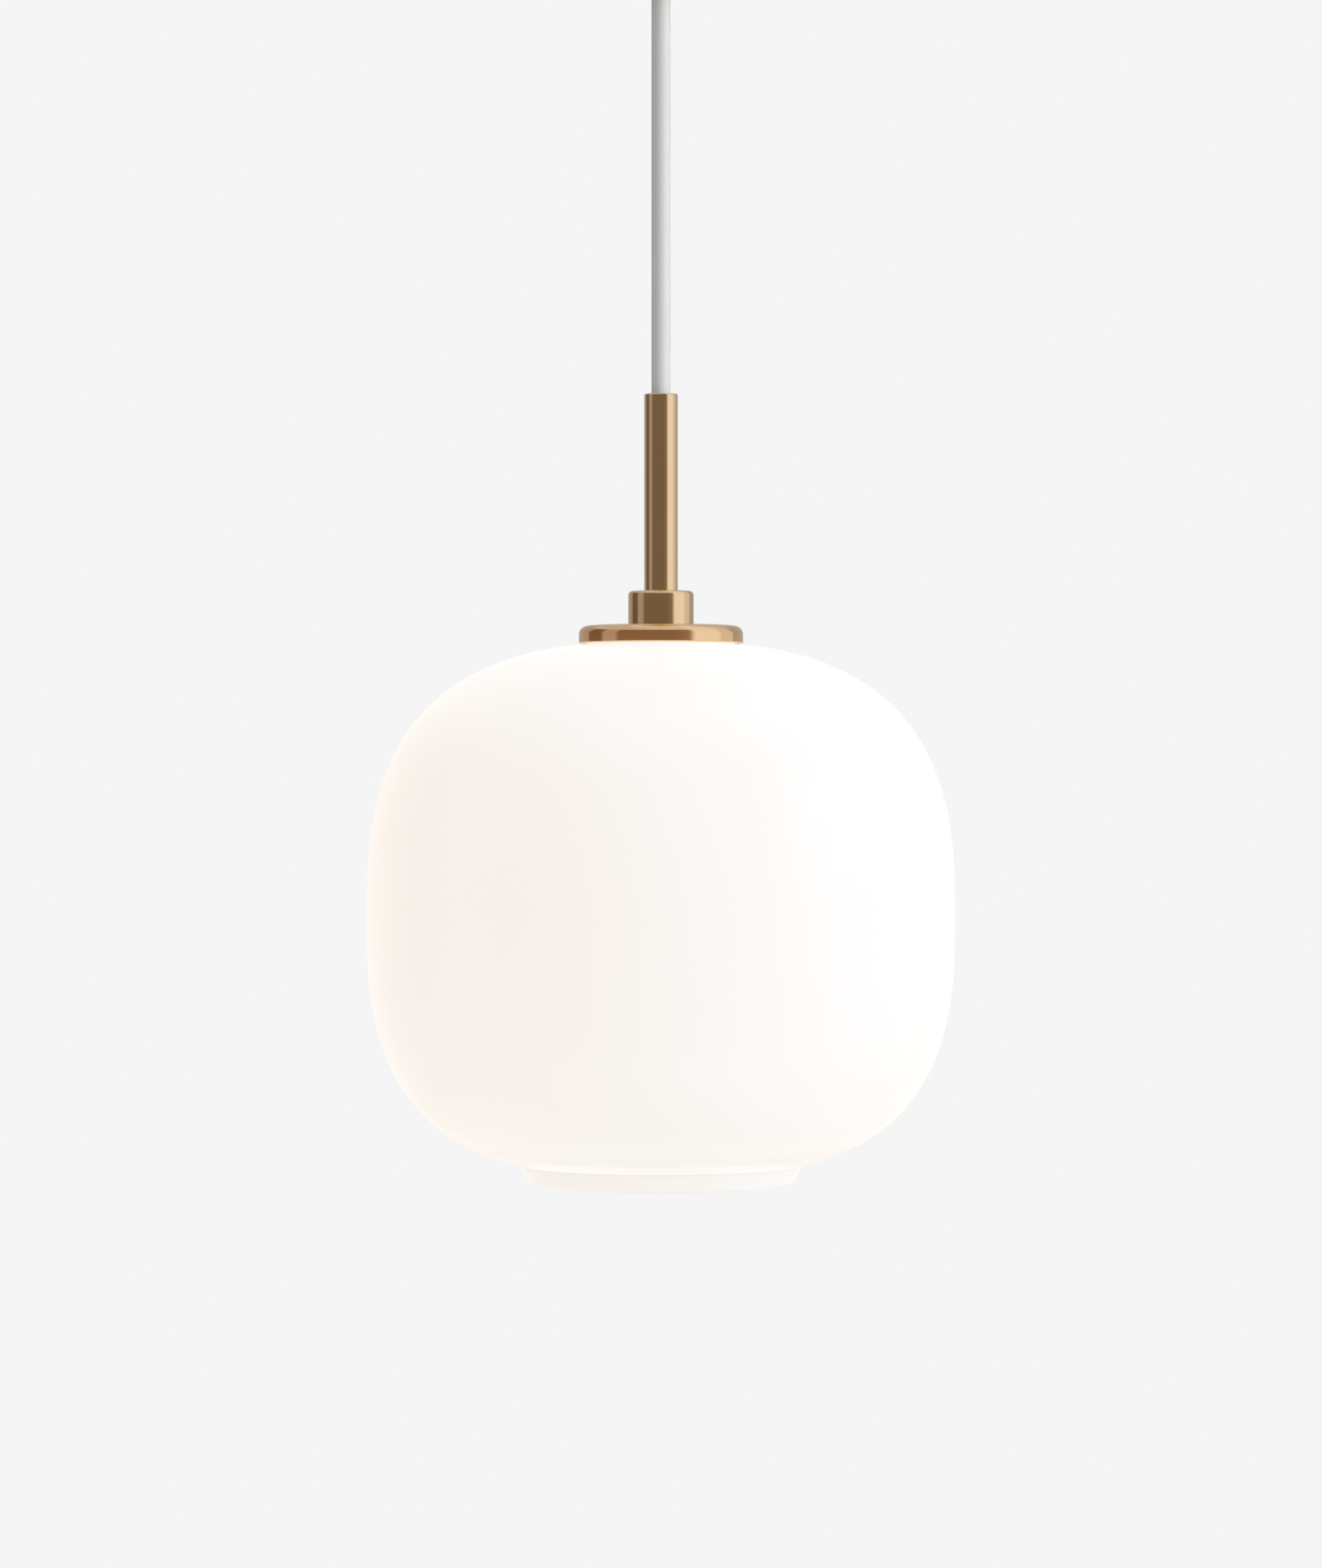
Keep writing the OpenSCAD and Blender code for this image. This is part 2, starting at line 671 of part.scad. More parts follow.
module stem_tube() {
    color("peru") difference() {
        turned(stem_w / 2, stem_bore / 2, stem_end_z, stem_z, stem_round, stem_round);
        translate([0, 0, stem_z - stem_grub_drop]) rotate([-90, 0, 0])
            cylinder(r = grub_w / 2 + thread_gap, h = stem_w);
    }
}

module cord_clamp_screw() {
    color("silver") grub_screw(stem_w / 2, stem_z - stem_grub_drop);
}

module collar() {
    color("peru") turned(collar_w / 2, stem_w / 2 + thread_gap, disc_z, collar_z, collar_round, 0.2);
}

module cover_disc() {
    color("peru") turned(disc_w / 2, stem_w / 2 + thread_gap, disc_under_z, disc_z,
        disc_round, disc_lower_round);
}

module upper_gasket() {
    color("white") washer(plate_w / 2, holder_w / 2 + 0.4, seat_z, disc_under_z);
}

// ---------- lampholder ----------

module holder_shell() {
    thread_start = disc_under_z - 3;
    outer = concat([[stem_w / 2 + thread_gap, disc_under_z],
        [holder_w / 2 - holder_thread_depth, disc_under_z]],
        ridges(holder_w / 2 - holder_thread_depth, holder_w / 2, thread_start, holder_pitch, holder_turns),
        [[holder_w / 2 - holder_thread_depth, holder_end_z], [holder_in_r - lip_w, holder_end_z],
            [holder_in_r - lip_w, core_end_z], [holder_in_r, core_end_z],
            [holder_in_r, holder_roof_z], [stem_w / 2 + thread_gap, holder_roof_z]]);
    color("ivory") rotate_extrude() polygon(outer);
}

module earth_tag() {
    tag_r = lock_nut_w / 2;
    color("gold") difference() {
        translate([0, 0, lock_nut_z]) {
            cylinder(r = tag_r, h = earth_tag_h);
            translate([-2, 0, 0]) cube([4, holder_in_r - 1, earth_tag_h]);
        }
        translate([0, 0, lock_nut_z - 1]) cylinder(r = stem_w / 2 + thread_gap, h = earth_tag_h + 2);
    }
}

module lock_nut() {
    color("silver") hex_nut(lock_nut_w, stem_w / 2 + thread_gap, lock_nut_z - lock_nut_h, lock_nut_z);
}

module at_terminals() {
    for (side = [-1, 1]) {
        translate([side * terminal_x, 0, core_z]) children();
    }
}

module holder_core() {
    slot_x = terminal_x + terminal_w / 2 - strip_t - slide_gap;
    color("white") difference() {
        translate([0, 0, core_end_z]) cylinder(r = core_r, h = core_h);
        translate([0, 0, core_end_z - 1]) cylinder(r = core_cavity_w / 2, h = cavity_z - core_end_z + 1);
        // slots that the two contact strips pass through
        for (side = [-1, 1]) {
            translate([side * (contact_r + strip_t / 2 + 0.05), 0, core_z - core_roof / 2])
                cube([strip_t + 2 * slide_gap, strip_w + 2 * slide_gap, core_roof + 1], center = true);
        }
    }
}

module contact_shell() {
    top = cavity_z - 3;
    rise = cap_thread_depth * 0.5;
    inside = ridges(contact_in_r + rise, contact_in_r, top, cap_pitch, cap_turns);
    flare = [[core_cavity_w / 2 - 0.1, core_end_z + 1.2], [core_cavity_w / 2 - 0.1, core_end_z + 0.8],
        [contact_in_r + rise, core_end_z + 0.8]];
    outside = [for (i = [len(inside) - 1:-1:0]) inside[i] + [contact_wall, 0]];
    color("gold") rotate_extrude() polygon(concat(inside, [[contact_in_r + rise, core_end_z + 1.2]],
        [flare[2], flare[1], flare[0]], [[contact_r, core_end_z + 1.2]], outside));
}

module middle_contact() {
    strip_x = contact_r + 0.05;
    color("gold") {
        translate([-strip_x - strip_t, -strip_w / 2, cavity_z - middle_drop - strip_t])
            cube([strip_t, strip_w, core_z - cavity_z + middle_drop + strip_t]);
        translate([-strip_x - strip_t, -strip_w / 2, cavity_z - middle_drop - strip_t])
            cube([strip_x + strip_t + 2, strip_w, strip_t]);
    }
}

module side_contact() {
    strip_x = contact_r + 0.05;
    color("gold") translate([strip_x, -strip_w / 2, cavity_z - 8])
        cube([strip_t, strip_w, core_z - cavity_z + 8]);
}

module holder_terminals() {
    color("gold") at_terminals() {
        difference() {
            translate([-terminal_w / 2, -terminal_w / 2, 0]) cube([terminal_w, terminal_w, terminal_h]);
            translate([0, 0, 1]) cylinder(r = wire_w / 2 + thread_gap, h = terminal_h);
            translate([0, 0, terminal_h / 2]) rotate([90, 0, 0])
                cylinder(r = way_screw_w / 2 + thread_gap, h = terminal_w);
        }
    }
}

module holder_screws() {
    color("silver") at_terminals() {
        translate([0, -wire_w / 2 - 0.05, terminal_h / 2]) rotate([90, 0, 0]) difference() {
            cylinder(r = way_screw_w / 2, h = terminal_w / 2);
            translate([-way_screw_w, -0.25, terminal_w / 2 - 0.6]) cube([2 * way_screw_w, 0.5, 2]);
        }
    }
}

// Wire from the cord's end, out of the stem and over to a holder terminal
module holder_wire(angle, side) {
    top = core_z + terminal_h;
    swept_tube(route(concat(leaving(angle, disc_under_z, -1), [beside(angle, stem_end_z + 1),
        [side * 3.4, -0.4, stem_end_z - 1.2], [side * 6.2, 0, stem_end_z - 1.4],
        [side * terminal_x, 0, top + 0.6], [side * terminal_x, 0, top - 0.6],
        [side * terminal_x, 0, top - 2]]), 3), wire_w / 2, wire_sides);
}

module holder_live_wire() {
    color("saddlebrown") holder_wire(live_angle, -1);
}

module holder_neutral_wire() {
    color("royalblue") holder_wire(neutral_angle, 1);
}

module holder_earth_wire() {
    tab_y = holder_in_r - 1 - wire_w;
    color("yellowgreen") swept_tube(route(concat(leaving(earth_angle, disc_under_z, -1),
        [beside(earth_angle, stem_end_z + 1), [0, 3.4, stem_end_z - 1.4], [0, 7.2, stem_end_z - 0.8],
            [0, tab_y, lock_nut_z - 3], [0, tab_y, lock_nut_z - 1.2], [0, tab_y, lock_nut_z]]), 3),
        wire_w / 2, wire_sides);
}

// ---------- glass shade and what clamps it ----------

// Height of the crown's curve at radius r, and its radius at height z, for half sizes a and b
function crown_point(a, b, t) = [a * pow(cos(t), 2 / crown_across), b * pow(sin(t), 2 / crown_up)];
function crown_r(a, b, z) = a * pow(1 - pow(z / b, crown_up), 1 / crown_across);
function base_point(a, b, t) = [a * pow(cos(t), 2 / base_across), -b * pow(sin(t), 2 / base_down)];
function base_z(a, b, r) = -b * pow(1 - pow(r / a, base_across), 1 / base_down);

// Half of the shade's wall section: from the hole's edge at height top out to radius r_end
function shade_curve(a, b_up, b_down, top, r_end) = concat(
    [[shade_hole_w / 2, top], [crown_r(a, b_up, top), top]],
    [for (t = [90 - curve_step:-curve_step:0]) let (p = crown_point(a, b_up, t)) if (p.y < top - 0.3) p],
    [for (t = [curve_step:curve_step:90 - curve_step]) let (p = base_point(a, b_down, t))
        if (p.x > r_end + 0.5) p],
    [[r_end, base_z(a, b_down, r_end)]]);

module glass_shade() {
    a = shade_w / 2;
    neck_z = base_z(a, base_drop, neck_w / 2);
    rim_low = neck_z - neck_h;
    mouth_r = rim_w / 2 - shade_wall;
    outside = shade_curve(a, crown_rise, base_drop, seat_rise, neck_w / 2);
    inside = shade_curve(a - shade_wall, crown_rise - shade_wall, base_drop - shade_wall,
        seat_rise - shade_wall, mouth_r);
    lip = [for (t = [0:15:90])
        [rim_w / 2 - rim_round + rim_round * cos(t), rim_low + rim_round - rim_round * sin(t)]];
    backwards = [for (i = [len(inside) - 1:-1:0]) inside[i]];
    color("white") translate([0, 0, wide_z]) rotate_extrude()
        polygon(concat(outside, lip, [[mouth_r, rim_low]], backwards));
}

module lower_gasket() {
    color("white") washer(plate_w / 2, shade_hole_w / 2, plate_z, under_seat_z);
}

module clamp_plate() {
    color("silver") washer(plate_w / 2, holder_w / 2 + ring_gap, ring_z, plate_z);
}

module shade_ring() {
    color("ivory") difference() {
        union() {
            translate([0, 0, ring_z - ring_flange_h]) cylinder(r = ring_flange_w / 2, h = ring_flange_h);
            translate([0, 0, ring_z - ring_h]) cylinder(r = ring_w / 2, h = ring_h);
        }
        translate([0, 0, ring_z - ring_h - 1]) cylinder(r = holder_w / 2 + ring_gap, h = ring_h + 2);
        for (i = [0:ring_grooves - 1]) {
            rotate([0, 0, i * 360 / ring_grooves]) translate([ring_w / 2 + 0.4, 0, ring_z - ring_h - 1])
                cylinder(r = ring_groove_w / 2, h = ring_h - ring_flange_h + 1);
        }
    }
}

// ---------- bulb ----------

module bulb_tip() {
    color("silver") turned(2, 0, insulator_z, tip_z, 0.8, 0.1);
}

module bulb_insulator() {
    color("black") rotate_extrude()
        polygon([[0, insulator_z], [2.6, insulator_z], [cap_plain_r - 0.6, cap_z], [0, cap_z]]);
}

module bulb_cap() {
    thread_start = cap_z - 1.2;
    outside = concat([[0, cap_z], [cap_plain_r - 0.6, cap_z]],
        ridges(cap_plain_r, cap_w / 2, thread_start, cap_pitch, cap_turns),
        [[cap_plain_r, housing_z]]);
    inner_r = cap_plain_r - cap_wall;
    color("silver") rotate_extrude()
        polygon(concat(outside, [[inner_r, housing_z], [inner_r, thread_start], [0, thread_start]]));
}

module housing_outline(inset) {
    polygon([[0, housing_z - inset], [housing_top_r - inset, housing_z - inset],
        [housing_bend_r - inset, housing_bend_z], [globe_cut_r - inset, globe_z], [0, globe_z]]);
}

module bulb_housing() {
    color("white") rotate_extrude() difference() {
        housing_outline(0);
        intersection() {
            housing_outline(bulb_wall);
            translate([0, board_z]) square([globe_w, housing_h]);
        }
        translate([0, globe_z - 1]) square([board_hole_r, board_z - globe_z + 1]);
    }
}

module led_board() {
    color("silver") translate([0, 0, board_z - led_board_h]) cylinder(r = board_r, h = led_board_h);
}

module bulb_driver() {
    height = housing_h * 0.55;
    color("green") {
        translate([-6, -0.6, board_z]) cube([12, 1.2, height]);
        translate([1.5, 0.6 - eps, board_z + 2]) cube([3.5, 4, 5]);
        translate([-3, 0.6 - eps, board_z + 3.5]) rotate([-90, 0, 0]) cylinder(r = 2, h = 4.5);
    }
}

module led_chips() {
    color("yellow") for (i = [0:led_count - 1]) {
        rotate([0, 0, i * 360 / led_count])
            translate([led_ring_w / 2, 0, board_z - led_board_h - chip_h / 2])
                cube([2.8, 2.8, chip_h], center = true);
    }
}

module bulb_globe() {
    color("white") rotate_extrude() difference() {
        translate([0, globe_mid_z]) circle(globe_w / 2);
        translate([0, globe_mid_z]) circle(globe_w / 2 - bulb_wall);
        translate([-globe_w, globe_mid_z - globe_w]) square([globe_w, 2 * globe_w]);
        translate([0, globe_z]) square([globe_w, globe_w]);
    }
}

// ---------- the nodes ----------

ceiling_bracket();
terminal_block();
terminal_tubes();
terminal_screws();
block_screws();
earth_screw();
earth_washer();
live_wire();
neutral_wire();
earth_wire();
canopy_cup();
canopy_screws();
canopy_nuts();
cord_grip();
cord_grip_nut();
cord_grip_screw();
cord_head();
cord();
stem_bush();
stem_tube();
cord_clamp_screw();
cord_tail();
collar();
cover_disc();
upper_gasket();
holder_shell();
earth_tag();
lock_nut();
holder_core();
contact_shell();
middle_contact();
side_contact();
holder_terminals();
holder_screws();
holder_live_wire();
holder_neutral_wire();
holder_earth_wire();
glass_shade();
lower_gasket();
clamp_plate();
shade_ring();
bulb_cap();
bulb_insulator();
bulb_tip();
bulb_housing();
bulb_driver();
led_board();
led_chips();
bulb_globe();
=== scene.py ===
import math

import bmesh
import bpy
from mathutils import Matrix, Vector


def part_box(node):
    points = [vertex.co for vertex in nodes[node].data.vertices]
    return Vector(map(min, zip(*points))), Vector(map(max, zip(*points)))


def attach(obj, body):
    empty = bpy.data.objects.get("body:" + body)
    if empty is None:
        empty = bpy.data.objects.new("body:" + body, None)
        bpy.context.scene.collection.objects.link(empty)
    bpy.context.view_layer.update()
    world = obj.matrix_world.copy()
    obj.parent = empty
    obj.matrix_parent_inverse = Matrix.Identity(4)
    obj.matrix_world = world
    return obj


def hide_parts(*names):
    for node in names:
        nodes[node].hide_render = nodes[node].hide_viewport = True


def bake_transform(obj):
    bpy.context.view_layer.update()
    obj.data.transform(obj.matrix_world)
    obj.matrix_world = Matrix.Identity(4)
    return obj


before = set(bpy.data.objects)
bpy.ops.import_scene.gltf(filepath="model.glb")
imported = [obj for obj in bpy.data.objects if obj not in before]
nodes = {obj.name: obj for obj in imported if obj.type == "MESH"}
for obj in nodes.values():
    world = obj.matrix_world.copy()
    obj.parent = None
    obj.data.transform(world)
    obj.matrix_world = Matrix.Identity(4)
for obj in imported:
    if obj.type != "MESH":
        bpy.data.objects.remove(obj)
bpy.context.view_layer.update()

# Pendant ceiling light. Metres, the ceiling at z 0, the light hanging below it along -z.
scene = bpy.context.scene
boxes = {node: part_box(node) for node in nodes}


def low(node):
    return boxes[node][0]


def high(node):
    return boxes[node][1]


def middle(node):
    return (low(node) + high(node)) / 2


# camera

cameraView = {"height": -0.3003, "distance": 1.413, "lens": 108.8}


def addCamera(view):
    data = bpy.data.cameras.new("camera")
    data.lens = view["lens"]
    camera = bpy.data.objects.new("camera", data)
    camera.location = (0, -view["distance"], view["height"])
    camera.rotation_euler = (math.radians(90), 0, 0)
    scene.collection.objects.link(camera)
    scene.camera = camera


addCamera(cameraView)


# making pieces

def makePiece(name, bm, sharpAngle=35):
    mesh = bpy.data.meshes.new(name)
    bm.to_mesh(mesh)
    bm.free()
    mesh.shade_smooth()
    mesh.set_sharp_from_angle(angle=math.radians(sharpAngle))
    piece = bpy.data.objects.new(name, mesh)
    scene.collection.objects.link(piece)
    return piece


def evenNormals(piece):
    # flat faces stay flat to the eye beside their small rounds
    modifier = piece.modifiers.new("evenNormals", "WEIGHTED_NORMAL")
    modifier.keep_sharp = True


def roundedOutline(corners, steps=7):
    # corners are (radius from the axis, height, round); the outline is closed
    points = []
    for i, (x, z, bend) in enumerate(corners):
        here = Vector((x, z))
        if bend <= 0:
            points.append(here)
            continue
        before = (Vector(corners[i - 1][:2]) - here).normalized()
        after = (Vector(corners[(i + 1) % len(corners)][:2]) - here).normalized()
        half = before.angle(after) / 2
        middle = here + (before + after).normalized() * bend / math.sin(half)
        first = here + before * bend / math.tan(half) - middle
        last = here + after * bend / math.tan(half) - middle
        turn = first.angle_signed(last)
        for step in range(steps + 1):
            points.append(middle + Matrix.Rotation(-turn * step / steps, 2) @ first)
    return points


def ringOutline(node, inner, outer, rounds, steps=5):
    # a ring as high as its node; the rounds run from the inner edge at the top to the one below
    topInner, topOuter, endOuter, endInner = rounds
    top, end = high(node).z, low(node).z
    return roundedOutline([(inner, top, topInner), (outer, top, topOuter),
                           (outer, end, endOuter), (inner, end, endInner)], steps)


def spinOutline(name, points, steps=144, sharpAngle=35, ripple=None):
    # an outline in the xz plane turned once about z; it is open only where it ends on the axis
    bm = bmesh.new()
    verts = [bm.verts.new((p[0], 0, p[1])) for p in points]
    edges = [bm.edges.new((verts[i - 1], verts[i])) for i in range(len(verts))
             if points[i - 1][0] + points[i][0] > 1e-7]
    # a sixteenth is spun, then doubled four times, which is much quicker than a full spin
    bmesh.ops.spin(bm, geom=verts + edges, cent=(0, 0, 0), axis=(0, 0, 1),
                   angle=math.tau / 16, steps=steps // 16)
    for share in (16, 8, 4, 2):
        made = bmesh.ops.duplicate(bm, geom=bm.verts[:] + bm.edges[:] + bm.faces[:])["geom"]
        bmesh.ops.rotate(bm, verts=[g for g in made if isinstance(g, bmesh.types.BMVert)],
                         cent=(0, 0, 0), matrix=Matrix.Rotation(math.tau / share, 3, "Z"))
    bmesh.ops.remove_doubles(bm, verts=bm.verts, dist=1e-7)
    if ripple:
        for vert in bm.verts:
            away = math.hypot(vert.co.x, vert.co.y)
            if away > ripple["from"]:
                wave = 0.5 + 0.5 * math.cos(ripple["count"] * math.atan2(vert.co.y, vert.co.x))
                share = 1 - ripple["depth"] * wave / away
                vert.co.x *= share
                vert.co.y *= share
    bmesh.ops.recalc_face_normals(bm, faces=bm.faces)
    return makePiece(name, bm, sharpAngle)


def threadRows(radius, top, bottom, pitch):
    # the rows of an outline's straight side that gets a thread
    count = round((top - bottom) / pitch * 10)
    return [(radius, top + (bottom - top) * i / count, 0) for i in range(count + 1)]


def cutThread(piece, thread):
    # moves the side's points in along a helix, and fades out at both ends
    for vert in piece.data.vertices:
        away = math.hypot(vert.co.x, vert.co.y)
        if abs(away - thread["radius"]) > 0.00002:
            continue
        ends = min(thread["top"] - vert.co.z, vert.co.z - thread["bottom"]) / thread["pitch"]
        turn = vert.co.z / thread["pitch"] + math.atan2(vert.co.y, vert.co.x) / math.tau
        wave = 0.5 + 0.5 * math.cos(math.tau * turn)
        if thread.get("sharp"):
            wave = abs(2 * (turn % 1) - 1)
        share = 1 - max(0, min(1, ends)) * wave * thread["depth"] / away
        vert.co.x *= share
        vert.co.y *= share


def smoothLine(points, steps=6):
    # a smooth curve through the points, straight on at both ends
    line = [Vector(p) for p in points]
    made = []
    for i in range(len(line) - 1):
        a, b, c = line[max(i - 1, 0)], line[i], line[i + 1]
        d = line[min(i + 2, len(line) - 1)]
        for k in range(steps):
            t = k / steps
            made.append(0.5 * (2 * b + (c - a) * t + (2 * a - 5 * b + 4 * c - d) * t * t
                               + (3 * b - a - 3 * c + d) * t ** 3))
    return made + [line[-1]]


def sweepTube(name, route, radius, sides=32, spacing=0.002):
    # a round tube along the route, with its rest place kept for its pattern
    line = [Vector(route[0])]
    for start, end in zip(route, route[1:]):
        start, end = Vector(start), Vector(end)
        count = max(1, round((end - start).length / spacing))
        line += [start.lerp(end, (i + 1) / count) for i in range(count)]
    directions = [(line[min(i + 1, len(line) - 1)] - line[max(i - 1, 0)]).normalized()
                  for i in range(len(line))]
    bm = bmesh.new()
    around = bm.verts.layers.float.new("roundShare")
    turned = directions[0].to_track_quat("Z", "X")
    ring = bmesh.ops.create_circle(
        bm, segments=sides, radius=radius,
        matrix=Matrix.Translation(line[0]) @ turned.to_matrix().to_4x4())["verts"]
    for i, vert in enumerate(ring):
        vert[around] = math.cos(math.tau * i / sides)
    edges = bm.edges[:]
    bmesh.ops.contextual_create(bm, geom=edges)
    for i in range(1, len(line)):
        made = bmesh.ops.extrude_edge_only(bm, edges=edges)["geom"]
        verts = [g for g in made if isinstance(g, bmesh.types.BMVert)]
        edges = [g for g in made if isinstance(g, bmesh.types.BMEdge)]
        bend = directions[i - 1].rotation_difference(directions[i]).to_matrix().to_4x4()
        bmesh.ops.transform(
            bm, verts=verts,
            matrix=Matrix.Translation(line[i]) @ bend @ Matrix.Translation(-line[i - 1]))
    bmesh.ops.contextual_create(bm, geom=edges)
    bmesh.ops.recalc_face_normals(bm, faces=bm.faces)
    piece = makePiece(name, bm, 60)
    atRest = piece.data.attributes.new("restPlace", "FLOAT_VECTOR", "POINT")
    for vert in piece.data.vertices:
        atRest.data[vert.index].vector = vert.co
    return piece


def refinedCopy(name, node, edge=0.00025, sharpAngle=32, folds=()):
    # a CAD node's shape with its triangles joined into faces and its sharp edges eased;
    # folds are (distance to the side, height, round) of the sheet's bends
    bm = bmesh.new()
    bm.from_mesh(nodes[node].data)
    bmesh.ops.remove_doubles(bm, verts=bm.verts, dist=2e-6)
    bmesh.ops.dissolve_limit(bm, angle_limit=math.radians(0.6), use_dissolve_boundaries=False,
                             verts=bm.verts, edges=bm.edges)
    for side, level, bend in folds:
        folded = [e for e in bm.edges
                  if all(abs(abs(v.co.x) - side) + abs(v.co.z - level) < 2e-5 for v in e.verts)
                  and e.verts[0].co.x * e.verts[1].co.x > 0]
        bmesh.ops.bevel(bm, geom=folded, offset=bend, offset_type="OFFSET", segments=6,
                        profile=0.5, affect="EDGES", clamp_overlap=True, material=-1)
    if edge > 0:
        sharp = [e for e in bm.edges if len(e.link_faces) == 2
                 and e.calc_face_angle(0) > math.radians(sharpAngle)]
        bmesh.ops.bevel(bm, geom=sharp, offset=edge, offset_type="OFFSET", segments=2,
                        profile=0.5, affect="EDGES", clamp_overlap=True, material=-1)
        bmesh.ops.remove_doubles(bm, verts=bm.verts, dist=1e-7)
    piece = makePiece(name, bm, sharpAngle)
    evenNormals(piece)
    return piece


def place(piece, body, material, slotName, *stoodFor):
    piece.data.materials.clear()
    piece.data.materials.append(material)
    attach(piece, body)
    if stoodFor:
        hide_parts(*stoodFor)
    return piece


def placeCopies(body, *rows):
    # rows are (name, node, material, slot, how far its edges are eased)
    for name, node, material, slotName, edge in rows:
        place(refinedCopy(name, node, edge), body, material, slotName, node)


def cutHole(piece, start, direction, radius, length, sides=32):
    # a round hole from start along direction
    bm = bmesh.new()
    turned = Vector(direction).to_track_quat("Z", "X").to_matrix().to_4x4()
    middle = Vector(start) + Vector(direction).normalized() * length / 2
    bmesh.ops.create_cone(bm, cap_ends=True, segments=sides, radius1=radius, radius2=radius,
                          depth=length, matrix=Matrix.Translation(middle) @ turned)
    cutter = makePiece("cutter", bm)
    modifier = piece.modifiers.new("hole", "BOOLEAN")
    modifier.operation = "DIFFERENCE"
    modifier.solver = "EXACT"
    modifier.object = cutter
    shown = piece.evaluated_get(bpy.context.evaluated_depsgraph_get())
    mesh = bpy.data.meshes.new_from_object(shown)
    piece.modifiers.clear()
    piece.data = mesh
    mesh.shade_smooth()
    mesh.set_sharp_from_angle(angle=math.radians(35))
    bpy.data.objects.remove(cutter)


# finishes

def addNode(tree, kind, inputs={}, **settings):
    node = tree.nodes.new(kind)
    for name, value in settings.items():
        setattr(node, name, value)
    for name, value in inputs.items():
        if isinstance(value, bpy.types.NodeSocket):
            tree.links.new(value, node.inputs[name])
        else:
            node.inputs[name].default_value = value
    return node


def noise(tree, where, size, detail=3, roughness=0.5):
    return addNode(tree, "ShaderNodeTexNoise",
                   {"Vector": where, "Scale": 1 / size, "Detail": detail,
                    "Roughness": roughness}).outputs["Fac"]


def spread(tree, value, start, end, fromLow=0.3, fromHigh=0.7):
    return addNode(tree, "ShaderNodeMapRange",
                   {"Value": value, "From Min": fromLow, "From Max": fromHigh,
                    "To Min": start, "To Max": end}).outputs["Result"]


def maths(tree, operation, first, second):
    return addNode(tree, "ShaderNodeMath", {0: first, 1: second},
                   operation=operation).outputs["Value"]


def places(tree):
    # where a point is: its place, and the same as x, y and z
    where = addNode(tree, "ShaderNodeTexCoord").outputs["Object"]
    return where, addNode(tree, "ShaderNodeSeparateXYZ", {0: where}).outputs


def awayFromAxis(tree, where):
    # a point's place without its height, and how far it is from the z axis
    flat = addNode(tree, "ShaderNodeVectorMath", {0: where, 1: (1, 1, 0)},
                   operation="MULTIPLY").outputs["Vector"]
    return flat, addNode(tree, "ShaderNodeVectorMath", {0: flat},
                         operation="LENGTH").outputs["Value"]


def blendColours(tree, share, first, second):
    node = addNode(tree, "ShaderNodeMix", data_type="RGBA")
    tree.links.new(share, node.inputs["Factor"])
    for socket, value in ((node.inputs["A"], first), (node.inputs["B"], second)):
        if isinstance(value, bpy.types.NodeSocket):
            tree.links.new(value, socket)
        else:
            socket.default_value = (*value, 1)
    return node.outputs["Result"]


def finish(name, look):
    # look holds two colours, the size of their patches, two roughnesses, the size and depth of
    # the grain, and the shader's own fixed values
    material = bpy.data.materials.new(name)
    material.use_nodes = True
    tree = material.node_tree
    shader = tree.nodes["Principled BSDF"]
    for socket, value in look.get("fixed", {}).items():
        shader.inputs[socket].default_value = value
    coordinates = addNode(tree, "ShaderNodeTexCoord").outputs["Object"]
    if look.get("attribute"):
        coordinates = addNode(tree, "ShaderNodeAttribute",
                              attribute_name=look["attribute"]).outputs["Vector"]
    stretch = look.get("stretch", (1, 1, 1))
    where = addNode(tree, "ShaderNodeMapping",
                    {"Vector": coordinates, "Scale": stretch}).outputs["Vector"]
    patches = noise(tree, where, look["patch"], 4, 0.6)
    tree.links.new(
        blendColours(tree, spread(tree, patches, 0, 1), look["colour"], look["shade"]),
        shader.inputs["Base Color"])
    grain = noise(tree, where, look["grain"], look.get("grainDetail", 2))
    uneven = maths(tree, "MULTIPLY", patches, grain)
    tree.links.new(spread(tree, uneven, *look["rough"], 0.15, 0.4), shader.inputs["Roughness"])
    bump = addNode(tree, "ShaderNodeBump", {"Height": grain, "Strength": look.get("bump", 0.5),
                                            "Distance": look["depth"]})
    tree.links.new(bump.outputs["Normal"], shader.inputs["Normal"])
    return material, tree, shader


def latheFinish(name, look):
    # fine turning lines: they run round the axis, so they read the radius and the height
    material, tree, shader = finish(name, look)
    where, part = places(tree)
    flat, radius = awayFromAxis(tree, where)
    lines = addNode(tree, "ShaderNodeCombineXYZ", {"X": radius, "Y": part["Z"]}).outputs["Vector"]
    drift = addNode(tree, "ShaderNodeVectorMath", {0: flat, 1: (0.03, 0.03, 0)},
                    operation="MULTIPLY").outputs["Vector"]
    where = addNode(tree, "ShaderNodeVectorMath", {0: lines, 1: drift}, operation="ADD")
    grooves = noise(tree, where.outputs["Vector"], look["lineSize"], 2, 0.6)
    bump = addNode(tree, "ShaderNodeBump",
                   {"Height": grooves, "Strength": 0.4, "Distance": look["lineDepth"],
                    "Normal": shader.inputs["Normal"].links[0].from_socket})
    tree.links.new(bump.outputs["Normal"], shader.inputs["Normal"])
    return material


def brassWithPaintedGlow(name, look, bottom, top):
    # painted reflection: an orange emission on the disc stands in for the glass's glow mirrored
    # in it, strongest at its lower edge
    material = latheFinish(name, look)
    tree = material.node_tree
    shader = tree.nodes["Principled BSDF"]
    height = places(tree)[1]["Z"]
    tree.links.new(spread(tree, height, 0.1, 0.03, bottom, top),
                   shader.inputs["Emission Strength"])
    shader.inputs["Emission Color"].default_value = (1.0, 0.15, 0.0, 1)
    return material


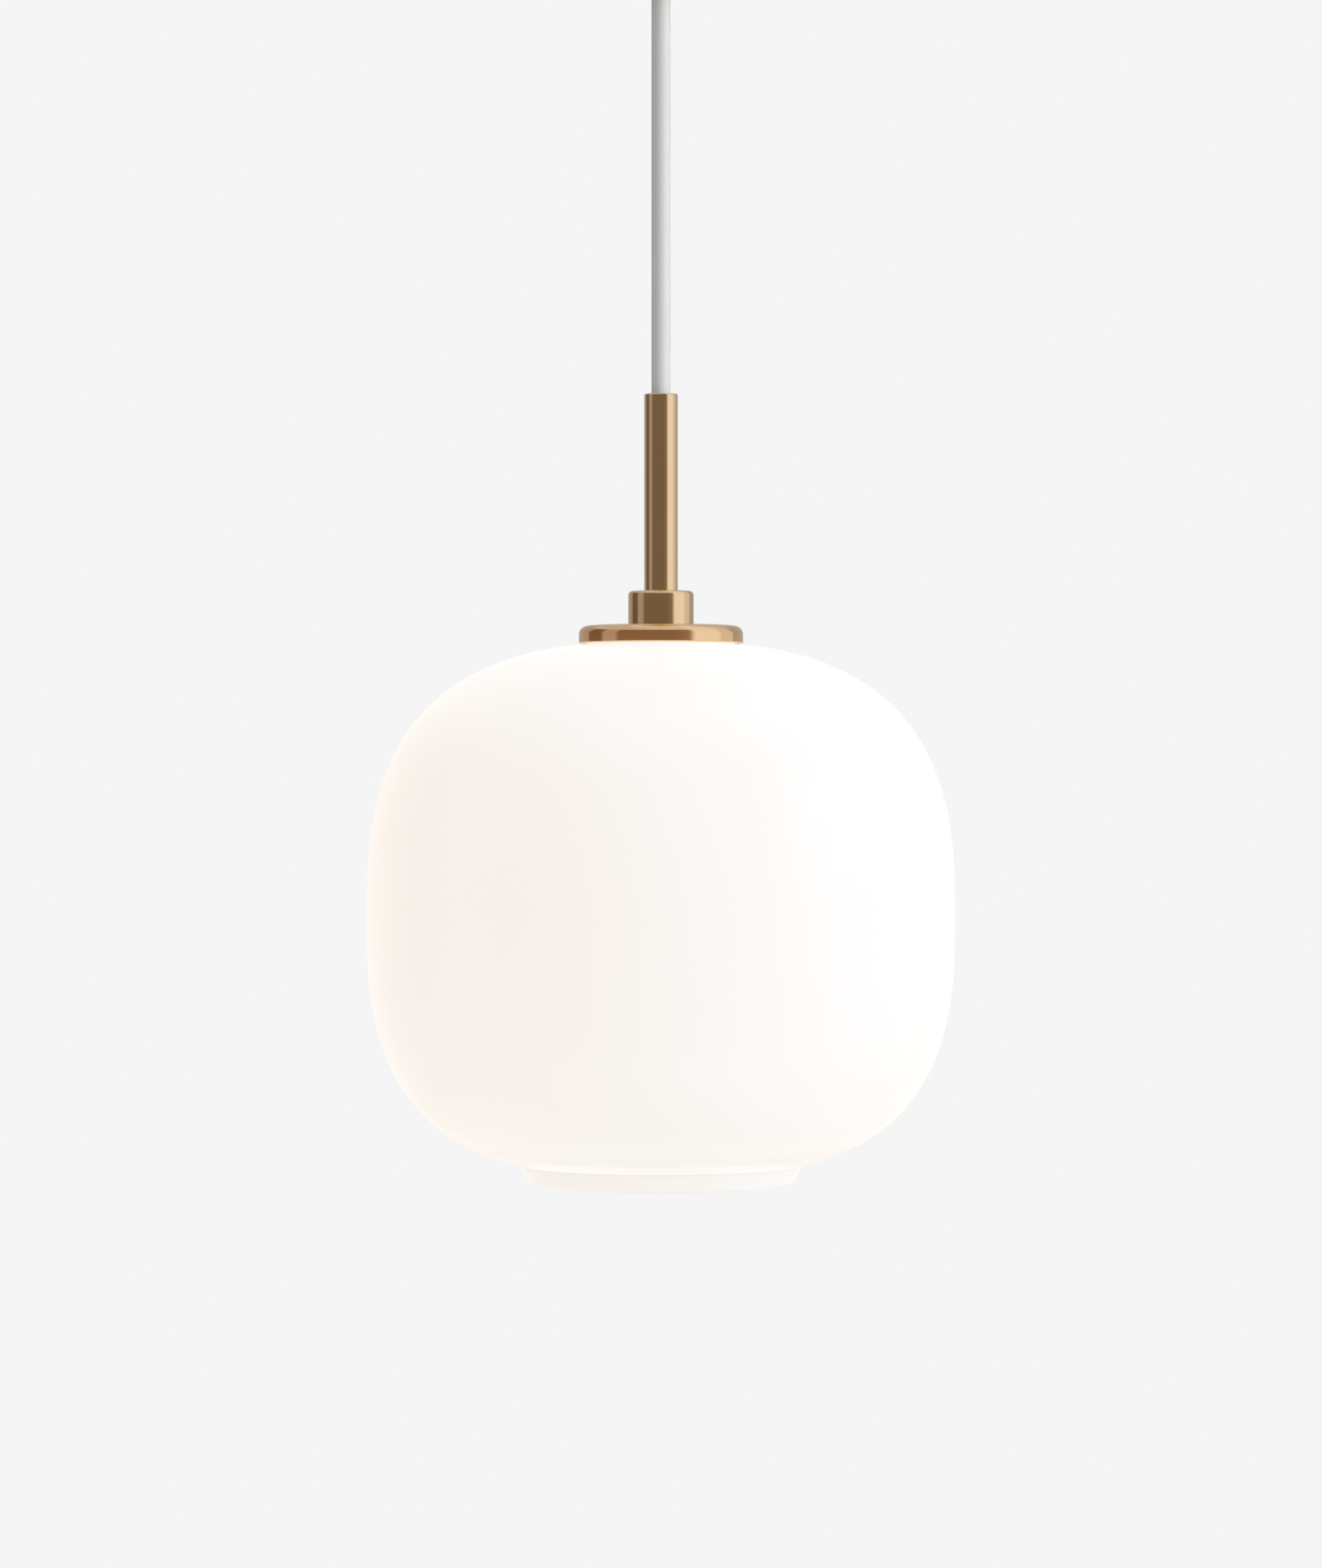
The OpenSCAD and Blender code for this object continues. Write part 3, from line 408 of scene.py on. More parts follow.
def plain(name, **look):
    # most of the small pieces share their grain
    return finish(name, {"grain": 0.0003, "depth": 0.00001, **look})[0]


brassLook = {
    "colour": (0.77, 0.585, 0.365), "shade": (0.75, 0.56, 0.34), "patch": 0.03,
    "rough": (0.07, 0.11), "grain": 0.0015, "depth": 0.000002,
    "lineSize": 0.0004, "lineDepth": 0.000003,
    "fixed": {"Metallic": 1, "Coat Weight": 0.15, "Coat Roughness": 0.08}}
satinBrass = latheFinish("satinBrass", brassLook)
# the disc's brass is a darker, more orange copy of the stem's brass, painted for the warm
# reflections it shows, and it carries the painted glow
discBrassPaintedGlow = brassWithPaintedGlow("discBrassPaintedGlow", {**brassLook, "colour": (0.72, 0.555, 0.335),
                                      "shade": (0.70, 0.53, 0.315)},
                        low("cover_disc").z, high("cover_disc").z)
contactBrass = plain(
    "contactBrass", colour=(0.80, 0.62, 0.28), shade=(0.68, 0.50, 0.22), patch=0.004,
    rough=(0.25, 0.42), grain=0.0004, fixed={"Metallic": 1})
zincSteel = plain(
    "zincSteel", colour=(0.63, 0.65, 0.68), shade=(0.52, 0.53, 0.53), patch=0.006,
    rough=(0.3, 0.5), grain=0.0005, depth=0.00002, stretch=(0.25, 1, 1), fixed={"Metallic": 1})
screwSteel = plain(
    "screwSteel", colour=(0.60, 0.60, 0.59), shade=(0.50, 0.49, 0.47), patch=0.002,
    rough=(0.25, 0.4), fixed={"Metallic": 1})
blockPlastic = plain(
    "blockPlastic", colour=(0.80, 0.78, 0.70), shade=(0.76, 0.73, 0.64), patch=0.008,
    rough=(0.4, 0.5), depth=0.00002,
    fixed={"Subsurface Weight": 0.2, "Subsurface Scale": 0.002})
cordSheath = plain(
    "cordSheath", colour=(0.58, 0.58, 0.585), shade=(0.56, 0.56, 0.565), patch=0.012,
    rough=(0.38, 0.46), grain=0.0005, attribute="restPlace", stretch=(1, 1, 0.2))
bushNylon = plain(
    "bushNylon", colour=(0.72, 0.71, 0.67), shade=(0.68, 0.67, 0.62), patch=0.004,
    rough=(0.35, 0.45))
holderPlastic = plain(
    "holderPlastic", colour=(0.83, 0.81, 0.74), shade=(0.80, 0.77, 0.69), patch=0.01,
    rough=(0.32, 0.42), depth=0.000015)
coreCeramic = plain(
    "coreCeramic", colour=(0.85, 0.84, 0.80), shade=(0.80, 0.79, 0.74), patch=0.003,
    rough=(0.12, 0.22), grain=0.0008, depth=0.00003, fixed={"Coat Weight": 0.4})
capMetal = plain(
    "capMetal", colour=(0.66, 0.64, 0.60), shade=(0.58, 0.56, 0.52), patch=0.004,
    rough=(0.2, 0.32), grain=0.0004, fixed={"Metallic": 1})
blackInsulator = plain(
    "blackInsulator", colour=(0.012, 0.012, 0.016), shade=(0.02, 0.018, 0.022), patch=0.002,
    rough=(0.08, 0.16), grain=0.0006, depth=0.00002)
solder = plain(
    "solder", colour=(0.60, 0.60, 0.62), shade=(0.48, 0.48, 0.50), patch=0.001,
    rough=(0.25, 0.45), grain=0.0006, depth=0.00006, fixed={"Metallic": 1})
bulbPlastic = plain(
    "bulbPlastic", colour=(0.84, 0.84, 0.83), shade=(0.81, 0.81, 0.80), patch=0.008,
    rough=(0.3, 0.38))
circuitBoard = plain(
    "circuitBoard", colour=(0.02, 0.17, 0.06), shade=(0.03, 0.24, 0.09), patch=0.0012,
    rough=(0.25, 0.4), grain=0.0005, depth=0.00003)
boardAluminium = plain(
    "boardAluminium", colour=(0.78, 0.79, 0.80), shade=(0.70, 0.71, 0.72), patch=0.003,
    rough=(0.3, 0.45), fixed={"Metallic": 0.6})
ledPhosphor = plain(
    "ledPhosphor", colour=(0.92, 0.68, 0.12), shade=(0.88, 0.60, 0.08), patch=0.001,
    rough=(0.3, 0.4))
insulation = {"patch": 0.004, "rough": (0.3, 0.4), "grain": 0.0004, "depth": 0.00001,
              "attribute": "restPlace"}
brownInsulation = plain("brownInsulation", colour=(0.14, 0.055, 0.025),
                        shade=(0.12, 0.045, 0.02), **insulation)
blueInsulation = plain("blueInsulation", colour=(0.02, 0.12, 0.42),
                       shade=(0.018, 0.10, 0.37), **insulation)


def stripedInsulation(name):
    material, tree, shader = finish(name, {"colour": (0.82, 0.62, 0.02),
                                           "shade": (0.78, 0.58, 0.02), **insulation})
    yellow = shader.inputs["Base Color"].links[0].from_socket
    side = addNode(tree, "ShaderNodeAttribute", attribute_name="roundShare").outputs["Fac"]
    share = spread(tree, side, 0, 1, -0.2, -0.1)
    tree.links.new(blendColours(tree, share, (0.02, 0.25, 0.05), yellow),
                   shader.inputs["Base Color"])
    return material


earthInsulation = stripedInsulation("earthInsulation")


def glowing(name, look, colour, strength):
    material, _, shader = finish(name, look)
    shader.inputs["Emission Color"].default_value = (*colour, 1)
    shader.inputs["Emission Strength"].default_value = strength
    return material


def colourRamp(tree, value, stops):
    # stops run from low to high, each with its place and its colour
    first, last = stops[0][0], stops[-1][0]
    ramp = addNode(tree, "ShaderNodeValToRGB", {"Fac": spread(tree, value, 0, 1, first, last)})
    elements = ramp.color_ramp.elements
    while len(elements) > 1:
        elements.remove(elements[-1])
    elements[0].position = 0
    elements[0].color = (*stops[0][1], 1)
    for at, colour in stops[1:]:
        elements.new((at - first) / (last - first)).color = (*colour, 1)
    return ramp.outputs["Color"]


# the glass's emission, set by height, stands for both the lit bulb shining through and painted
# light and shade
def glowWithPaintedShadeByHeight(name, look, rim, glow):
    material, tree, shader = finish(name, look)
    stops = [(rim + at, colour) for at, colour in glow]
    tree.links.new(colourRamp(tree, places(tree)[1]["Z"], stops),
                   shader.inputs["Emission Color"])
    shader.inputs["Emission Strength"].default_value = 1
    return material


opalGlowAndPaintedShade = [    # height above the rim, and the emission there: the lit bulb's light through the opal, mixed with painted light and shade
    # painted shade: darker at the rim's lower edge and in bands at the neck's fold; painted
    # light: whiter towards the top
    (0.0, (0.72, 0.66, 0.60)), (0.0005, (0.845, 0.760, 0.678)),
    (0.0050, (0.845, 0.760, 0.678)), (0.0057, (0.785, 0.688, 0.612)),
    (0.0071, (0.785, 0.688, 0.612)), (0.0079, (0.836, 0.750, 0.668)),
    (0.0087, (0.790, 0.720, 0.632)), (0.0100, (0.800, 0.722, 0.636)),
    (0.0135, (0.840, 0.756, 0.671)),
    (0.024, (0.855, 0.767, 0.683)), (0.040, (0.870, 0.781, 0.700)),
    (0.084, (0.870, 0.775, 0.691)), (0.122, (0.870, 0.777, 0.694)),
    (0.138, (0.875, 0.794, 0.720)), (0.155, (0.876, 0.804, 0.742)),
    (0.165, (0.874, 0.806, 0.748))]
# the base colour is a dark blue-grey; nearly all of the glass's white is the painted emission
opalGlass = glowWithPaintedShadeByHeight("opalGlass", {
    "colour": (0.086, 0.149, 0.205), "shade": (0.081, 0.141, 0.196), "patch": 0.08,
    "rough": (0.32, 0.38), "grain": 0.02, "depth": 0.00005, "bump": 0.2,
    "fixed": {"Specular IOR Level": 0.25}}, low("glass_shade").z, opalGlowAndPaintedShade)
gasketRubber = glowing("gasketRubber", {
    "colour": (0.40, 0.39, 0.37), "shade": (0.37, 0.36, 0.34), "patch": 0.006,
    "rough": (0.5, 0.6), "grain": 0.0004, "depth": 0.00002},
    (1.0, 0.93, 0.84), 0.7)    # clear silicone; its emission is painted light standing in for the lit glass's glow through it
globePlastic = glowing("globePlastic", {
    "colour": (0.36, 0.35, 0.33), "shade": (0.34, 0.33, 0.31), "patch": 0.02,
    "rough": (0.3, 0.36), "grain": 0.0008, "depth": 0.00001,
    "fixed": {"Specular IOR Level": 0.35}},
    (1.0, 0.94, 0.86), 0.54)
print("finishes are made")

# cord

cordShape = {
    # below the grip's mouth, a taut straight line
    "route": [(0, 0, 0), (0, 0, -0.006), (0, 0, -0.012), (0, 0, -0.020), (0, 0, -0.030),
              (0, 0, -0.040), (0, 0, -0.050), (0, 0, -0.060), (0, 0, -0.070), (0, 0, -0.080),
              (0, 0, -0.090), (0, 0, -0.100), (0, 0, -0.108), (0, 0, -0.115), (0, 0, -0.121),
              (0, 0, -0.126), (0, 0, -0.1304)],
    "footStart": 10,       # the route's point from which the foot has its own piece
    "diameter": 0.0057,
    "topBend": (0.005, 0.010),      # two lengths, above and below the grip's mouth
    "footBend": (0.0085, 0.0044),   # and the stem's top
    "tailGap": 0.0001,     # between the foot and the cord's end in the stem
}


def addCord(shape):
    mouth, stemTop = high("cord"), low("cord")
    points = [Vector(p) + Vector((0, 0, mouth.z)) for p in shape["route"]]
    head = Vector((0, 0, high("cord_head").z))
    upper = [head] + points[:shape["footStart"] + 1]
    lower = points[shape["footStart"]:]
    radius = shape["diameter"] / 2
    cord = sweepTube("pendantCord", upper, radius)
    foot = sweepTube("cordFoot", lower, radius, spacing=0.0015)
    for piece in (cord, foot):
        piece.data.materials.append(cordSheath)
    for piece, bodies, level, bend in (
            (cord, ("canopy", "cord"), mouth.z, shape["topBend"]),
            (foot, ("cord", "bush"), stemTop.z, shape["footBend"])):
        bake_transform(piece)
    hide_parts("cord", "cord_head")
    tail = sweepTube("cordTail", [lower[-1] - Vector((0, 0, shape["tailGap"])),
                                  Vector((0, 0, low("cord_tail").z))], radius)
    place(tail, "lamp", cordSheath, "cord_sheath", "cord_tail")


addCord(cordShape)
print("cord is laid")

# glass shade

shadeShape = {
    "wall": 0.003,
    "crownRise": 0.0828,            # from the widest level to the top of the crown's full curve
    "baseDrop": 0.0756,
    "crownPowers": (2.72, 2.82),    # how square the curve is, across and upwards
    "basePowers": (3.18, 2.68),
    "seatRise": 0.0817,             # the flat ground round the hole, above the widest level
    "holeRadius": 0.015,
    "neckRadius": 0.0421,
    "neckHeight": 0.0056,
    "rimRadius": 0.0394,
    "neckSwell": 0.0002,
    "creaseRound": 0.0009,
    "rimRound": 0.0018,
}


def ovalLine(across, up, powers, count):
    # a quarter of a squared oval, from its top to its widest place
    return [Vector((across * math.sin(t) ** (2 / powers[0]), up * math.cos(t) ** (2 / powers[1])))
            for t in (math.pi / 2 * (i + 0.5) / count for i in range(count))]


def ovalHeight(across, up, powers, radius):
    return up * (1 - (radius / across) ** powers[0]) ** (1 / powers[1])


def ovalRadius(across, up, powers, height):
    return across * (1 - (height / up) ** powers[1]) ** (1 / powers[0])


def shadeSide(shape, inset, endRadius, count=64):
    # one face of the wall, from the hole over the crown and down to endRadius
    across = high("glass_shade").x - inset
    rise, drop = shape["crownRise"] - inset, shape["baseDrop"] - inset
    top = shape["seatRise"] - inset
    ground = ovalRadius(across, rise, shape["crownPowers"], top)
    crown = [p for p in ovalLine(across, rise, shape["crownPowers"], count)
             if p.y < top - 0.0002]
    base = [Vector((p.x, -p.y)) for p in ovalLine(across, drop, shape["basePowers"], count)
            if p.x > endRadius + 0.0015]
    end = -ovalHeight(across, drop, shape["basePowers"], endRadius)
    rows = [(shape["holeRadius"], top, 0.0003), (ground, top, 0.0006)]
    rows += [(*p, 0) for p in crown] + [(*p, 0) for p in reversed(base)]
    return rows, end


def addShade(shape):
    outside, crease = shadeSide(shape, 0, shape["neckRadius"])
    mouth = shape["rimRadius"] - shape["wall"]
    inside, mouthTop = shadeSide(shape, shape["wall"], mouth)
    rim = crease - shape["neckHeight"]
    neck = [(shape["neckRadius"], crease, shape["creaseRound"])]
    for share in (0.25, 0.5, 0.75):
        straight = shape["neckRadius"] + share * (shape["rimRadius"] - shape["neckRadius"])
        neck.append((straight + shape["neckSwell"] * 4 * share * (1 - share),
                     crease - share * shape["neckHeight"], 0))
    neck += [(shape["rimRadius"], rim, shape["rimRound"]), (mouth, rim, 0.0006),
             (mouth, mouthTop, 0.0008)]
    widest = high("glass_shade").z - shape["seatRise"]
    rows = outside + neck + inside[::-1]
    points = roundedOutline([(x, z + widest, bend) for x, z, bend in rows])
    glass = spinOutline("glassShade", points, 224, 50)
    return place(glass, "shade", opalGlass, "opal_glass", "glass_shade")


addShade(shadeShape)
print("glass is blown")

# brass stem, collar and disc

stemBore = 0.00505      # of the pieces that the stem goes through
grubHole = {"gap": 0.00005, "start": 0.002, "length": 0.006}

brassShapes = {
    "stemTube": {"node": "stem_tube", "inner": 0.004, "outer": 0.005,
                 "rounds": (0.00035, 0.0005, 0.0004, 0.0002), "brass": satinBrass},
    "stemCollar": {"node": "collar", "inner": stemBore, "outer": 0.00975,
                   "rounds": (0.0002, 0.0012, 0.0002, 0), "brass": satinBrass},
    "coverDisc": {"node": "cover_disc", "inner": stemBore, "outer": 0.0245,
                  "rounds": (0, 0.0026, 0.0003, 0), "brass": discBrassPaintedGlow},
}

for name, shape in brassShapes.items():
    outline = ringOutline(shape["node"], shape["inner"], shape["outer"], shape["rounds"], 12)
    brass = spinOutline(name, outline, 192)
    if name == "stemTube":
        cutHole(brass, (0, grubHole["start"], middle("cord_clamp_screw").z), (0, 1, 0),
                high("cord_clamp_screw").x + grubHole["gap"], grubHole["length"])
    evenNormals(brass)
    place(brass, "lamp", shape["brass"], "satin_brass", shape["node"])
print("brass is turned")

# ceiling bracket and terminal block

bracketShape = {
    "sheet": 0.0015,
    "foldRound": 0.0004,     # inside the fold; the outside is a sheet's thickness more
    "edge": 0.00035,
}


def addBracket(shape):
    corner = high("ceiling_bracket")
    sheet, bend = shape["sheet"], shape["foldRound"]
    folds = [(corner.x, corner.z, bend + sheet), (corner.x - sheet, corner.z - sheet, bend)]
    bracket = refinedCopy("ceilingBracket", "ceiling_bracket", shape["edge"], folds=folds)
    place(bracket, "root", zincSteel, "zinc_steel", "ceiling_bracket")


addBracket(bracketShape)
placeCopies(
    "root",
    ("terminalBlock", "terminal_block", blockPlastic, "block_plastic", 0.0003),
    ("terminalTubes", "terminal_tubes", contactBrass, "contact_brass", 0.0001),
    ("terminalScrews", "terminal_screws", screwSteel, "screw_steel", 0.0001),
    ("blockScrews", "block_screws", screwSteel, "screw_steel", 0.00015),
    ("earthScrew", "earth_screw", contactBrass, "contact_brass", 0.0002),
    ("earthWasher", "earth_washer", contactBrass, "contact_brass", 0.00015))

# wires

wireFinishes = {
    "live": (brownInsulation, "brown_insulation"), "neutral": (blueInsulation, "blue_insulation"),
    "earth": (earthInsulation, "earth_insulation")}
wireShape = {
    "radius": 0.001,
    "offset": 0.0014,      # from the cord's axis where the three lie side by side
    "angles": {"live": 210, "neutral": 330, "earth": 90},
    "tubeReach": (0.8, 0.35, 0),
}


def besideAxis(wire, z):
    angle = math.radians(wireShape["angles"][wire])
    return (wireShape["offset"] * math.cos(angle), wireShape["offset"] * math.sin(angle), z)


def leavingCord(wire, z, way):
    return [besideAxis(wire, z + way * d * 2 * wireShape["radius"]) for d in (0, 0.6, 1.2)]


cordEnd = high("cord_head").z
wayLevel = middle("terminal_tubes").z
wayPitch = 0.010
screwRow = 0.0045


def inCup(x, y, up):
    # shares of the cup's radius, and of the height from the cord's end to the terminals
    reach = high("canopy_cup").y
    return (x * reach, y * reach, cordEnd + up * (wayLevel - cordEnd))


def intoWay(i):
    return [(i * wayPitch, -screwRow - back * 0.017, wayLevel)
            for back in wireShape["tubeReach"]]


def earthEnd():
    screw = middle("earth_screw").x
    level = low("earth_washer").z
    return [(screw - 0.008, 0.003, level - 0.0024), (screw - 0.004, 0, level - 0.001)]


cupWires = {
    "live": {
        "end": intoWay(-1),
        "middle": [(-0.06, -0.06, 0.18), (-0.14, -0.2, 0.32), (-0.23, -0.42, 0.29),
                   (-0.29, -0.61, 0.5), (-0.23, -0.61, 0.83)]},
    "neutral": {
        "end": intoWay(0),
        "middle": [(0.06, -0.06, 0.18), (0.1, -0.21, 0.29), (0.12, -0.42, 0.15),
                   (0.08, -0.63, 0.32), (0.02, -0.65, 0.72)]},
    "earth": {
        "end": earthEnd(),
        "middle": [(-0.04, 0.08, 0.18), (-0.15, 0.17, 0.32), (-0.35, 0.35, 0.36),
                   (-0.54, 0.35, 0.58), (-0.6, 0.19, 0.86)]},
}

for wire, way in cupWires.items():
    line = smoothLine(leavingCord(wire, cordEnd, 1) + [inCup(*p) for p in way["middle"]]
                      + way["end"])
    tube = sweepTube(wire + "Wire", line, wireShape["radius"], 20, 0.0008)
    material, slotName = wireFinishes[wire]
    tube.data.materials.append(material)
    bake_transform(tube)
    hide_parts(wire + "_wire")

# ceiling cup and cord grip

cupReach = high("canopy_cup").y
cupTop, cupFloor = high("canopy_cup").z, low("canopy_cup").z
cupShape = {"wall": 0.0012, "bend": 0.007, "hole": 0.00505, "edge": 0.0004}


def addCup(shape):
    inner = cupReach - shape["wall"]
    corners = [(shape["hole"], cupFloor, 0), (cupReach, cupFloor, shape["bend"]),
               (cupReach, cupTop, shape["edge"]), (inner, cupTop, shape["edge"]),
               (inner, cupFloor + shape["wall"], shape["bend"] - shape["wall"]),
               (shape["hole"], cupFloor + shape["wall"], 0)]
    cup = spinOutline("ceilingCup", roundedOutline(corners, 14), 240)
    evenNormals(cup)
    place(cup, "canopy", satinBrass, "satin_brass", "canopy_cup")


addCup(cupShape)

thumbScrew = {"shank": 0.002, "pitch": 0.0007, "head": 0.004, "headDepth": 0.0024}


def addThumbScrews(shape):
    # shank and head along +z, the head's seat at the origin, then one on each side of the cup
    outer = high("canopy_screws").x
    level = middle("canopy_screws").z
    inEnd = min(v.co.x for v in nodes["canopy_screws"].data.vertices if v.co.x > 0)
    length = outer - shape["headDepth"] - inEnd
    shank, head = shape["shank"], shape["head"]
    rows = [(0, -length, 0), (shank * 0.7, -length, 0.0001)]
    threadTop, threadEnd = -0.0014, 0.0004 - length
    rows += threadRows(shank, threadTop, threadEnd, shape["pitch"])[::-1]
    rows += [(shank, 0, 0), (head - 0.0004, 0, 0.0001), (head, 0.0003, 0.0001),
             (head, shape["headDepth"] - 0.0005, 0.0002),
             (head - 0.0006, shape["headDepth"], 0.0003), (0.0014, shape["headDepth"], 0.0004),
             (0.0010, shape["headDepth"] - 0.0004, 0.0002), (0, shape["headDepth"] - 0.0004, 0)]
    screws = []
    for side, name in ((1, "thumbScrewRight"), (-1, "thumbScrewLeft")):
        screw = spinOutline(name, roundedOutline(rows, 4), 240, 40,
                            {"from": head - 0.0002, "count": 40, "depth": 0.0002})
        cutThread(screw, {"radius": shank, "top": threadTop, "bottom": threadEnd,
                          "pitch": shape["pitch"], "depth": 0.0003, "sharp": True})
        turned = Matrix.Rotation(math.radians(90 * side), 4, "Y")
        seat = Matrix.Translation((side * (outer - shape["headDepth"]), 0, level))
        screw.data.transform(seat @ turned)
        screws.append(screw)
    for screw in screws:
        place(screw, "canopy", satinBrass, "satin_brass", "canopy_screws")


addThumbScrews(thumbScrew)
placeCopies("canopy", ("sideNuts", "canopy_nuts", screwSteel, "screw_steel", 0.0002))

gripShape = {"bore": 0.003, "thread": 0.005, "pitch": 0.001, "width": 0.007, "mouth": 0.0052,
             "band": 0.0048, "lip": 0.0012, "screwHole": 0.00155}


def addGrip(shape):
    top, mouth = high("cord_grip").z, low("cord_grip").z
    corners = [(shape["bore"], top, 0.0003), (shape["thread"] - 0.0003, top, 0.0003)]
    threadTop, threadEnd = top - 0.0005, cupFloor + 0.0012
    corners += threadRows(shape["thread"], threadTop, threadEnd, shape["pitch"])
    corners += [(shape["thread"], cupFloor, 0), (shape["width"], cupFloor, 0.0003),
                (shape["width"], cupFloor - shape["band"], 0.0004),
                (shape["mouth"], mouth + shape["lip"], 0.0006),
                (shape["mouth"], mouth, 0.0005), (shape["bore"], mouth, 0.0003)]
    grip = spinOutline("cordGrip", roundedOutline(corners, 6), 192)
    cutThread(grip, {"radius": shape["thread"], "top": threadTop, "bottom": threadEnd,
                     "pitch": shape["pitch"], "depth": 0.0005, "sharp": True})
    cutHole(grip, (0, 0.002, middle("cord_grip_screw").z), (0, 1, 0), shape["screwHole"],
            shape["width"])
    evenNormals(grip)
    place(grip, "canopy", satinBrass, "satin_brass", "cord_grip")


addGrip(gripShape)
placeCopies("canopy", ("gripNut", "cord_grip_nut", screwSteel, "screw_steel", 0.0003),
            ("gripScrew", "cord_grip_screw", screwSteel, "screw_steel", 0.00012))
print("ceiling pieces are made")

# inside the stem and the lampholder

bushShape = {"bore": 0.003, "rounds": (0.0004, 0.0002, 0.0002, 0.0002)}
bushOutline = ringOutline("stem_bush", bushShape["bore"], high("stem_bush").x,
                          bushShape["rounds"])
place(spinOutline("stemBush", bushOutline, 96), "bush", bushNylon, "bush_nylon", "stem_bush")

placeCopies(
    "lamp",
    ("stemScrew", "cord_clamp_screw", screwSteel, "screw_steel", 0.00012),
    ("earthTag", "earth_tag", contactBrass, "contact_brass", 0.0001),
    ("lockNut", "lock_nut", screwSteel, "screw_steel", 0.0003),
    ("holderCore", "holder_core", coreCeramic, "core_ceramic", 0.0003),
    ("middleContact", "middle_contact", contactBrass, "contact_brass", 0.00008),
    ("sideContact", "side_contact", contactBrass, "contact_brass", 0.00008),
    ("holderTerminals", "holder_terminals", contactBrass, "contact_brass", 0.0002),
    ("holderScrews", "holder_screws", screwSteel, "screw_steel", 0.0001))

gasketRounds = (0.0001, 0.00025, 0.00025, 0.0001)
for name, node, body, hole in (("upperGasket", "upper_gasket", "lamp", 0.0144),
                               ("lowerGasket", "lower_gasket", "shade", 0.015)):
    outline = ringOutline(node, hole, high(node).x, gasketRounds)
    place(spinOutline(name, outline, 160), body, gasketRubber, "gasket_rubber", node)

holderShape = {"thread": 0.014, "pitch": 0.002, "depth": 0.0005, "turns": 15,
               "bore": 0.00505, "lip": 0.0005}


def addHolder(shape):
    top, end = high("holder_shell").z, low("holder_shell").z
    coreEnd, roof = low("holder_core").z, high("earth_tag").z
    inner = high("holder_core").x + 0.00005
    threadTop = top - 0.003
    threadEnd = threadTop - shape["turns"] * shape["pitch"]
    root = shape["thread"] - shape["depth"]
    corners = [(shape["bore"], top, 0.0001), (root, top, 0.0004)]
    corners += [(shape["thread"], threadTop, 0)]
    corners += threadRows(shape["thread"], threadTop, threadEnd, shape["pitch"])[1:]
    corners += [(root, threadEnd - 0.0008, 0.0003), (root, end, 0.0005),
                (inner - shape["lip"], end, 0.0003), (inner - shape["lip"], coreEnd, 0),
                (inner, coreEnd, 0), (inner, roof, 0.0006), (shape["bore"], roof, 0.0001)]
    holder = spinOutline("holderShell", roundedOutline(corners, 6), 192, 40)
    cutThread(holder, {"radius": shape["thread"], "top": threadTop, "bottom": threadEnd,
                       "pitch": shape["pitch"], "depth": shape["depth"]})
    place(holder, "lamp", holderPlastic, "holder_plastic", "holder_shell")


addHolder(holderShape)

contactShape = {"inner": 0.0071, "wall": 0.0004, "depth": 0.00035, "pitch": 0.00282}


def addContactShell(shape):
    # rolled sheet: both faces follow the same thread
    top, end = high("contact_shell").z, low("contact_shell").z
    inner = shape["inner"] + shape["depth"]
    outer = inner + shape["wall"]
    flare = high("contact_shell").x
    corners = threadRows(inner, top, end + 0.0006, shape["pitch"])
    corners += [(flare, end, 0.0001), (flare, end + 0.0004, 0.0001), (outer, end + 0.0008, 0)]
    corners += threadRows(outer, top, end + 0.0010, shape["pitch"])[::-1]
    shell = spinOutline("contactShell", roundedOutline(corners, 4), 144, 45)
    for radius in (inner, outer):
        cutThread(shell, {"radius": radius, "top": top, "bottom": end + 0.0006,
                          "pitch": shape["pitch"], "depth": shape["depth"]})
    place(shell, "lamp", contactBrass, "contact_brass", "contact_shell")


addContactShell(contactShape)

# wires at the holder

stemEnd = low("stem_tube").z
cordTailEnd = low("cord_tail").z
terminalTop = high("holder_terminals").z
terminalReach = high("holder_terminals").x - 0.002
tabReach = high("holder_earth_wire").y - wireShape["radius"]


def toTerminal(side):
    return [(side * 0.0034, -0.0004, stemEnd - 0.0012), (side * 0.0062, 0, stemEnd - 0.0014),
            (side * terminalReach, 0, terminalTop + 0.0006),
            (side * terminalReach, 0, terminalTop - 0.0006),
            (side * terminalReach, 0, terminalTop - 0.002)]


tagLevel = low("earth_tag").z
holderWires = {
    "live": toTerminal(-1), "neutral": toTerminal(1),
    "earth": [(0, 0.0034, stemEnd - 0.0014), (0, 0.0072, stemEnd - 0.0008),
              (0, tabReach, tagLevel - 0.003), (0, tabReach, tagLevel - 0.0012),
              (0, tabReach, tagLevel)],
}
for wire, end in holderWires.items():
    line = smoothLine(leavingCord(wire, cordTailEnd, -1) + [besideAxis(wire, stemEnd + 0.001)]
                      + end)
    tube = sweepTube("holder" + wire.capitalize() + "Wire", line, wireShape["radius"], 20, 0.0006)
    place(tube, "lamp", *wireFinishes[wire], "holder_" + wire + "_wire")
print("lampholder is made")

# clamp plate and shade ring

plateShape = {"hole": 0.0141, "rounds": (0.0002, 0.0004, 0.0003, 0.0002)}
plateOutline = ringOutline("clamp_plate", plateShape["hole"], high("clamp_plate").x,
                           plateShape["rounds"])
place(spinOutline("clampPlate", plateOutline, 160), "shade", zincSteel, "zinc_steel",
      "clamp_plate")
placeCopies("ring", ("shadeRing", "shade_ring", holderPlastic, "holder_plastic", 0.0004))
print("clamp is made")

# bulb

capShape = {
    "thread": 0.0069, "plain": 0.0062, "wall": 0.0003, "depth": 0.0007,
    "pitch": 0.00282, "turns": 5, "shoulder": 0.0056,
}


